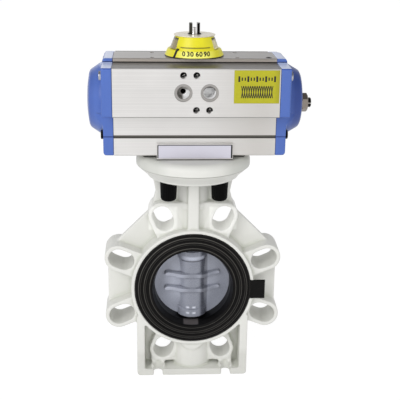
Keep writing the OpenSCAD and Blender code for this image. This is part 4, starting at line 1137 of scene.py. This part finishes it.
class VALVE_OT_stop(bpy.types.Operator):
    """Make the travel stop: threaded screw and chamfered nut"""
    bl_idname = "valve.stop"
    bl_label = "Travel stop"

    def execute(self, context):
        low, high = span("stop_screw")
        z = (low[2] + high[2]) / 2
        r = (high[1] - low[1]) / 2
        reach = high[0] - low[0]

        def thread(angle, height):
            """Radius share along a helix: a vee once in each pitch, fading at the tips."""
            fade = step(height, 0.8, 2.5) * (1 - step(height, reach - 1.0, reach - 0.5))
            return 1 - 0.13 * fade * (1 - helix_vee(angle, height, 1.5))

        wall = [(r * min(1, 0.8 + 0.2 * min(h, reach - h) / 0.8), h, 0)
                for h in np.linspace(0, reach, 420)]
        socket = [(2.6, reach, 6), (2.2, reach - 2.4, 6), (0, reach - 2.4, 0)]
        parts = turned([(0, 0, 0)] + wall + socket, (low[0], 0, z), "X", 72, thread)
        make("stop_screw_threaded", parts, "housing", FINISHES.black_steel, "stop_steel",
             "stop_screw", smooth_deg=60)
        self.nut(z)
        return {"FINISHED"}

    def nut(self, z):
        """Hexagon nut: where the hexagon stands out over the round bearing face, both faces fall
        away by a share of what stands out."""
        low, high = span("stop_lock_nut")
        flat = min((high[1] - low[1]) / 2, 8.0)
        bearing, bore = 7.5, 5.05
        thick = high[0] - low[0]
        angle = np.linspace(0, 2 * np.pi, 144, endpoint=False) + np.pi / 6
        hexagon = flat * corners(6, angle)
        face = np.minimum(hexagon, bearing)
        drop = np.maximum(hexagon - bearing, 0)
        rows = ((bore, 0), (bore, thick), (5.9, thick), (face, thick),
                (hexagon, thick - drop * 0.58), (hexagon, drop * 0.58 * 0.6), (face, 0), (bore, 0))
        rings = np.stack([
            np.stack([low[0] + h + 0 * angle, r * np.cos(angle), z + r * np.sin(angle)], axis=-1)
            for r, h in rows
        ])
        points, quads = lofted(rings)
        make("stop_nut_chamfered", (points, [quads]), "housing", FINISHES.nut, "zinc_steel",
             "stop_lock_nut", smooth_deg=25)


class VALVE_OT_ports(bpy.types.Operator):
    """Cut threads in the air ports"""
    bl_idname = "valve.ports"
    bl_label = "Port threads"

    def execute(self, context):
        face = span("actuator_body")[0][1] + 1.3
        pitch = sizes().thread / MM
        inner, outer = 5.82, 5.88
        for name, x, floor, bore in (("port_a_thread", -12.0, 7.2, 2.6),
                                     ("port_b_thread", 12.0, 13.2, 0)):

            def thread(angle, height):
                """Radius share along a helix: a vee once in each pitch, none on the floor."""
                wall = 1 - step(height, floor - 0.6, floor)
                return 1 - 0.1 * (1 - helix_vee(angle, height, pitch)) * wall

            wall = [(inner, h) for h in np.linspace(0, floor, 90)]
            outline = wall + [(bore, floor), (bore, floor + 0.3), (outer, floor + 0.3),
                              (outer, 0), wall[0]]
            parts = turned(outline, (x, face, PORT_LEVEL), "Y", 64, thread)
            make(name, parts, "housing", FINISHES.thread, "body_aluminium", smooth_deg=60)
        return {"FINISHED"}


def coil(low, high, wire, turns):
    """Round wire along a helix about X that fills the box from low to high. The angle is 2 pi for
    each turn. The climb along X adds up a pitch that is a third at both ends and eases to the
    full pitch over the second turn, as on a spring with closed ends. Round each place on the
    helix, a corner of the wire is wire (cos b outwards + sin b along X)."""
    steps, sides = 40, 12
    turn = np.linspace(0, turns, int(turns * steps) + 1)
    pitch = 0.34 + step(turn, 0.7, 1.5) * (1 - step(turn, turns - 1.5, turns - 0.7))
    climb = np.concatenate([[0], np.cumsum((pitch[1:] + pitch[:-1]) / 2)])
    along = low[0] + wire + (high[0] - low[0] - 2 * wire) * climb / climb[-1]
    middle = (low + high) / 2
    mean = (high[1] - low[1]) / 2 - wire
    angle = (2 * np.pi * turn)[:, None]
    b = np.linspace(0, 2 * np.pi, sides, endpoint=False)
    out = mean + wire * np.cos(b)
    return capped(np.stack([along[:, None] + wire * np.sin(b), middle[1] + out * np.cos(angle),
                            middle[2] + out * np.sin(angle)], axis=-1))


class VALVE_OT_springs(bpy.types.Operator):
    """Wind a return spring for each node that shortens as the pistons move out"""
    bl_idname = "valve.springs"
    bl_label = "Return springs"

    def execute(self, context):
        wire = sizes().wire / MM / 2
        for joint in frame["record"]["behaviour"]["joints"]:
            for change in joint.get("deforming_nodes", ()):
                node = change["node"]
                low, high = span(node)
                piece = make(node + "_coil", coil(low, high, wire, sizes().turns), "housing",
                             FINISHES.dark_steel, "spring_steel", node, smooth_deg=60)
                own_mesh(piece)
        return {"FINISHED"}


class VALVE_OT_indicator(bpy.types.Operator):
    """Mould the position indicator's skirt, panels, windows, top plate and ring"""
    bl_idname = "valve.indicator"
    bl_label = "Indicator"

    def execute(self, context):
        low, high = span("indicator_housing")
        pane_low, pane_high = span("indicator_windows")
        plate_low, plate_high = span("indicator_top_plate")
        self.base = low[2]
        self.rim = high[0]
        self.ledge = pane_low[2] - 0.65
        self.top = plate_low[2]
        self.foot = pane_high[0] + 0.7
        self.head = plate_high[0] - 0.6
        half = 50.0
        self.housing(half)
        self.panes(half)
        shaft = 5.3
        rim = plate_high[0]
        plate = eased([(shaft, 0.01), (rim - 0.3, 0.01), (rim, 0.4), (rim - 0.1, 0.85),
                       (rim - 0.6, 0.98), (shaft, 0.98), (shaft, 0.01)], 0.2, 2)
        make("indicator_plate", turned(plate, (0, 0, plate_low[2]), "Z", 144),
             "rotor", FINISHES.top_plate, "indicator_plate", "indicator_top_plate")
        low, high = span("indicator_ring")
        ring = eased(box_outline(shaft, high[0], 0.01, 0.95), 0.4, 4)
        make("indicator_ring_round", turned(ring, (0, 0, low[2]), "Z", 96),
             "rotor", FINISHES.shaft, "mark_black", "indicator_ring")
        return {"FINISHED"}

    def wall(self, z, inset=0.0):
        """Radius of the drum's surface at a height: it leans evenly from its foot to its head."""
        rise = (z - self.ledge + 0.2) / (self.top - self.ledge + 0.2)
        return self.foot + (self.head - self.foot) * rise - inset

    def housing(self, half):
        """Skirt, lid, hub and floor turned about the shaft, and the front and back panel, each half
        degrees wide to both sides, with a line dented round its foot and marked for painted shade."""
        z0, z1, top = self.base, self.ledge, self.top
        r0, r1, r2 = self.rim, 25.3, self.head
        skirt = eased([
            (r0 - 2.4, z0 + CLEAR), (r0 - CLEAR, z0 + CLEAR), (r1, z1), (r2 - 4.0, z1 + 0.6),
            (r2 - 4.0, z1 - 1.2), (r1 - 2.6, z1 - 1.0), (r0 - 2.4, z0 + CLEAR),
        ], [0, 0.6, 0.9, 0.5, 0.3, 0.5, 0])
        parts = [turned(skirt, ORIGIN, "Z", 180)]
        marks = [np.zeros(len(parts[0][0]))]
        line = z1 + 2.9
        heights = [z1 - 0.1, line - 0.65, line - 0.35, line + 0.35, line + 0.65, top - 0.4,
                   top - CLEAR]
        dents = [0, 0, 0.55, 0.55, 0, 0, 0.3]
        loop = [(self.wall(z, dent), z) for z, dent in zip(heights, dents)]
        loop += [(r2 - 2.2, top - CLEAR), (self.wall(z1, 2.2), z1 - 0.1)]
        steps = 80
        row = np.zeros((steps, len(loop)))
        row[np.abs(np.linspace(-half, half, steps)) < 37.5, 2:4] = 1
        for mid in (-90, 90):
            parts.append(wedge(loop, mid, half, steps))
            marks.append(row.ravel())
        for box, sides in (((6.6, r2 - 0.9, top - 1.6, top - CLEAR), 120),
                           ((5.26, 8.2, z0 + 4.9, top - 0.6), 72),
                           ((6.2, r2 - 3.0, z1 - 1.0, z1 + 0.5), 96)):
            parts.append(turned(box_outline(*box), ORIGIN, "Z", sides))
            marks.append(np.zeros(len(parts[-1][0])))
        make("indicator_shell", joined(parts), "rotor", FINISHES.yellow, "indicator_yellow",
             "indicator_housing", marks=np.concatenate(marks))

    def panes(self, half):
        """Windows between the panels, a little inside the drum's surface."""
        low, high = self.ledge + 0.7, self.top - 1.7
        glass = [(self.wall(low, 0.7), low), (self.wall(high, 0.7), high),
                 (self.wall(high, 2.2), high), (self.wall(low, 2.2), low)]
        glass = eased(glass, 0.25, 2, True)
        parts = [wedge(glass, mid, 89.6 - half, 64) for mid in (0, 180)]
        make("indicator_panes", joined(parts), "rotor", FINISHES.window, "indicator_clear",
             "indicator_windows")


class VALVE_OT_marks(bpy.types.Operator):
    """Print the pointer bar and the numbered scale on the indicator"""
    bl_idname = "valve.marks"
    bl_label = "Indicator marks"

    def execute(self, context):
        low, high = span("indicator_housing")
        tall = 6.4
        foot = (high[0] + 0.02, low[2])
        head = (25.32, low[2] + tall)
        parts = []
        for text, across in (("0", -11.4), ("30", -5.2), ("60", 3.2), ("90", 10.8)):
            mesh = raised(numbers(text, sizes().digit / MM), 0.25)
            flat = numbers_of(mesh.vertices, "co", 3).astype(float)
            flat[:, 0] += across
            polys = {}
            for face in mesh.polygons:
                polys.setdefault(len(face.vertices), []).append(list(face.vertices))
            parts.append((on_cone(flat, -90, foot, head, 0.38, -0.05),
                          [np.array(p) for p in polys.values()]))
            bpy.data.meshes.remove(mesh)
        bar_angle, bar_half = -134, 1.25
        size = math.hypot(foot[0] - head[0], tall)
        share = np.linspace(0.06, 1.3, 16)[:, None]
        side = share - 0.5 + bar_half * np.array([-1, 1, 1, -1])
        inner = -3.4 * np.maximum(share - 0.96, 0)
        lift = np.where([True, True, False, False], inner, 0.25)
        flat = np.stack([side, share * size + 0 * side, lift], axis=-1)
        bar = on_cone(flat.reshape(-1, 3), bar_angle, foot, head, 0.0, -0.02)
        parts.append(capped(bar.reshape(flat.shape)))
        make("indicator_print", joined(parts), "rotor", FINISHES.ink, "mark_black",
             "indicator_marks", smooth_deg=30)
        return {"FINISHED"}


class VALVE_OT_plates(bpy.types.Operator):
    """Make the bare nameplate and the spring label with its plain signs"""
    bl_idname = "valve.plates"
    bl_label = "Plates"

    def execute(self, context):
        low, high = span("nameplate")
        make("nameplate_bare", slab(low, high, radius=0.6, edge=0.2), "housing", FINISHES.plate,
             "nameplate_aluminium", "nameplate")
        low, high = span("spring_label")
        self.label(low, high)
        self.signs(low, high)
        return {"FINISHED"}

    def label(self, low, high):
        """Thin plate whose front falls back by a square law near its edge; it is marked with
        painted shade at its edge and towards its right side."""
        x, z, _, _ = grid(low, high, 60)
        edge = np.minimum(np.minimum(x - low[0], high[0] - x), np.minimum(z - low[2], high[2] - z))
        right = step(x, high[0] - 5.5, high[0]) * 0.55
        shade = np.maximum((1 - step(edge, 0, 0.9)) * 0.25, right)
        ease = 0.12 * (1 - np.clip(edge / 0.5, 0, 1)) ** 2
        parts = sandwich(np.stack([x, low[1] + ease, z], axis=-1),
                         np.stack([x, np.full_like(x, high[1]), z], axis=-1))
        make("spring_label_plate", parts, "housing", FINISHES.label, "label_yellow",
             "spring_label", marks=np.concatenate([shade, shade[:, ::-1]], axis=1))

    def signs(self, low, high):
        """Two crossing zigzags of seven turns that stand for a spring, below a row of ticks."""
        ink_low, ink_high = low[1] - 0.03, low[1] + 0.1
        left, wide = low[0] + 6.5, 29.0
        middle, tall = low[2] + 10.5, 5.6
        t = np.linspace(0, 1, 260)
        parts = []
        for phase in (0.0, 0.5):
            wave = np.abs(((t * 7 + phase) % 1) * 2 - 1) * 2 - 1
            wave = np.sin(wave * np.pi / 2 * 0.9)
            path = np.stack([left + wide * t, middle + tall * wave], axis=-1)
            parts.append(stroke(path, 0.72, ink_low + 0.01 * phase, ink_high))
        base = low[2] + 22.4
        for k, x in enumerate(np.linspace(low[0] + 4.5, high[0] - 4.5, 13)):
            reach, thick = (1.5, 1.2) if k % 3 else (2.6, 1.7)
            parts.append(stroke([(x, base - reach), (x, base + reach)], thick, ink_low, ink_high))
        make("spring_label_print", joined(parts), "housing", FINISHES.ink, "mark_black",
             smooth_deg=30)


class VALVE_OT_stage(bpy.types.Operator):
    """Set the floor, the lamps and the camera"""
    bl_idname = "valve.stage"
    bl_label = "Stage"

    def execute(self, context):
        scene = context.scene
        scene.view_settings.view_transform = "Standard"
        self.floor(scene)
        self.world(scene)
        self.lamp(scene, "key", (-0.85, -1.1, 0.85), size=0.85, power=9.0)
        self.lamp(scene, "front", (0.3, -1.6, 0.25), size=1.0, power=6.0, mirrored=False)
        self.lamp(scene, "fill", (1.5, -1.5, 0.5), size=1.3, power=1.2)
        self.camera(scene)
        return {"FINISHED"}

    def floor(self, scene):
        """Wide pale floor under the object: near white for the camera, with the shadow on it, and
        dimmer in mirrors towards the right."""
        ground = CAD_BOX[0][2]
        half = 14.0
        mesh = bpy.data.meshes.new("floor")
        mesh.from_pydata([(x * half, y * half, ground)
                          for x, y in ((-1, -1), (1, -1), (1, 1), (-1, 1))], [], [(0, 1, 2, 3)])
        floor = bpy.data.objects.new("floor", mesh)
        scene.collection.objects.link(floor)
        pale = bpy.data.materials.new("floor_pale")
        pale.use_nodes = True
        nodes = Nodes(pale.node_tree)
        place = nodes.add("TexCoord").outputs["Object"]
        across = nodes.add("SeparateXYZ", Vector=place).outputs["X"]
        seen = nodes.seen(nodes.level(across, 0.52, 0.26, -0.1, 0.35))
        matt = nodes.add("BsdfDiffuse", Color=(0.8, 0.8, 0.8, 1))
        glow = nodes.add("Emission", Strength=1.14)
        mix = nodes.add("MixShader", (), {0: nodes.level(seen, 0.22, 0.8, 0.0, 1.0),
                                          1: matt.outputs[0], 2: glow.outputs[0]})
        nodes.fill(pale.node_tree.nodes["Material Output"].inputs["Surface"], mix.outputs[0])
        mesh.materials.append(pale)

    def world(self, scene):
        """White behind the object for the camera and in mirrors near the horizon, dimmer above it
        for gloss, and soft light for shade."""
        world = bpy.data.worlds.new("studio")
        scene.world = world
        world.use_nodes = True
        nodes = Nodes(world.node_tree)
        way = nodes.add("SeparateXYZ", Vector=nodes.add("TexCoord").outputs["Generated"]).outputs
        mirrored = nodes.figure("MULTIPLY", nodes.level(way["Z"], 1.1, 0.3, 0.33, 0.55),
                                nodes.level(way["X"], 1.0, 0.62, -0.05, 0.2))
        path = nodes.add("LightPath").outputs
        ambient = nodes.between(path["Is Glossy Ray"], 0.6, mirrored)
        clear = nodes.figure("MAXIMUM", path["Is Camera Ray"], path["Is Transmission Ray"])
        back = world.node_tree.nodes["Background"]
        nodes.fill(back.inputs["Color"], (1, 1, 1, 1))
        nodes.fill(back.inputs["Strength"], nodes.between(clear, ambient, 1.0))

    def lamp(self, scene, name, place, size, power, mirrored=True):
        """Square soft lamp that faces the valve, and is seen in its metal or not."""
        data = bpy.data.lights.new(name, "AREA")
        data.shape = "SQUARE"
        data.size = size
        data.energy = power
        lamp = bpy.data.objects.new(name, data)
        scene.collection.objects.link(lamp)
        lamp.visible_glossy = mirrored
        aim = Vector((0, 0, 0.1)) - Vector(place)
        lamp.location = place
        lamp.rotation_euler = aim.to_track_quat("-Z", "Y").to_euler()

    def camera(self, scene):
        """Camera from its place and its yaw, pitch and roll."""
        yaw, pitch, roll = (math.radians(v) for v in CAMERA_YAW_PITCH_ROLL)
        right = Vector((math.cos(yaw), math.sin(yaw), 0))
        back = Vector((math.sin(yaw) * math.cos(pitch), -math.cos(yaw) * math.cos(pitch),
                       math.sin(pitch)))
        up = back.cross(right)
        across = right * math.cos(roll) + up * math.sin(roll)
        above = -right * math.sin(roll) + up * math.cos(roll)
        data = bpy.data.cameras.new("camera")
        data.lens = CAMERA_LENS
        data.sensor_width = CAMERA_SENSOR
        camera = bpy.data.objects.new("camera", data)
        scene.collection.objects.link(camera)
        turn = Matrix((across, above, back)).transposed().to_4x4()
        camera.matrix_world = Matrix.Translation(CAMERA_PLACE) @ turn
        scene.camera = camera


class VALVE_PT_panel(bpy.types.Panel):
    """Lists the valve's operators and settings"""
    bl_idname = "VALVE_PT_panel"
    bl_label = "Valve"
    bl_space_type = "VIEW_3D"
    bl_region_type = "UI"
    bl_category = "Valve"

    def draw(self, context):
        for maker in OPERATORS:
            self.layout.operator(maker.bl_idname)
        for group in (context.scene.valve_colours, context.scene.valve_sizes):
            for name in type(group).__annotations__:
                self.layout.prop(group, name)


OPERATORS = (
    VALVE_OT_frame, VALVE_OT_body, VALVE_OT_adapter, VALVE_OT_liner, VALVE_OT_disc,
    VALVE_OT_bolt_caps, VALVE_OT_end_caps, VALVE_OT_screws, VALVE_OT_stop, VALVE_OT_ports,
    VALVE_OT_springs, VALVE_OT_indicator, VALVE_OT_marks, VALVE_OT_plates, VALVE_OT_stage,
)
CLASSES = (ValveColours, ValveSizes) + OPERATORS + (VALVE_PT_panel,)


def register():
    """Registers the classes and the scene's settings."""
    for item in CLASSES:
        bpy.utils.register_class(item)
    bpy.types.Scene.valve_colours = PointerProperty(type=ValveColours)
    bpy.types.Scene.valve_sizes = PointerProperty(type=ValveSizes)


def unregister():
    """Takes them away again."""
    del bpy.types.Scene.valve_sizes
    del bpy.types.Scene.valve_colours
    for item in reversed(CLASSES):
        bpy.utils.unregister_class(item)


def main():
    """Makes every piece in order."""
    register()
    for maker in OPERATORS:
        group, name = maker.bl_idname.split(".")
        if getattr(getattr(bpy.ops, group), name)() != {"FINISHED"}:
            raise RuntimeError(maker.bl_label + " did not finish")


if __name__ == "__main__":
    main()
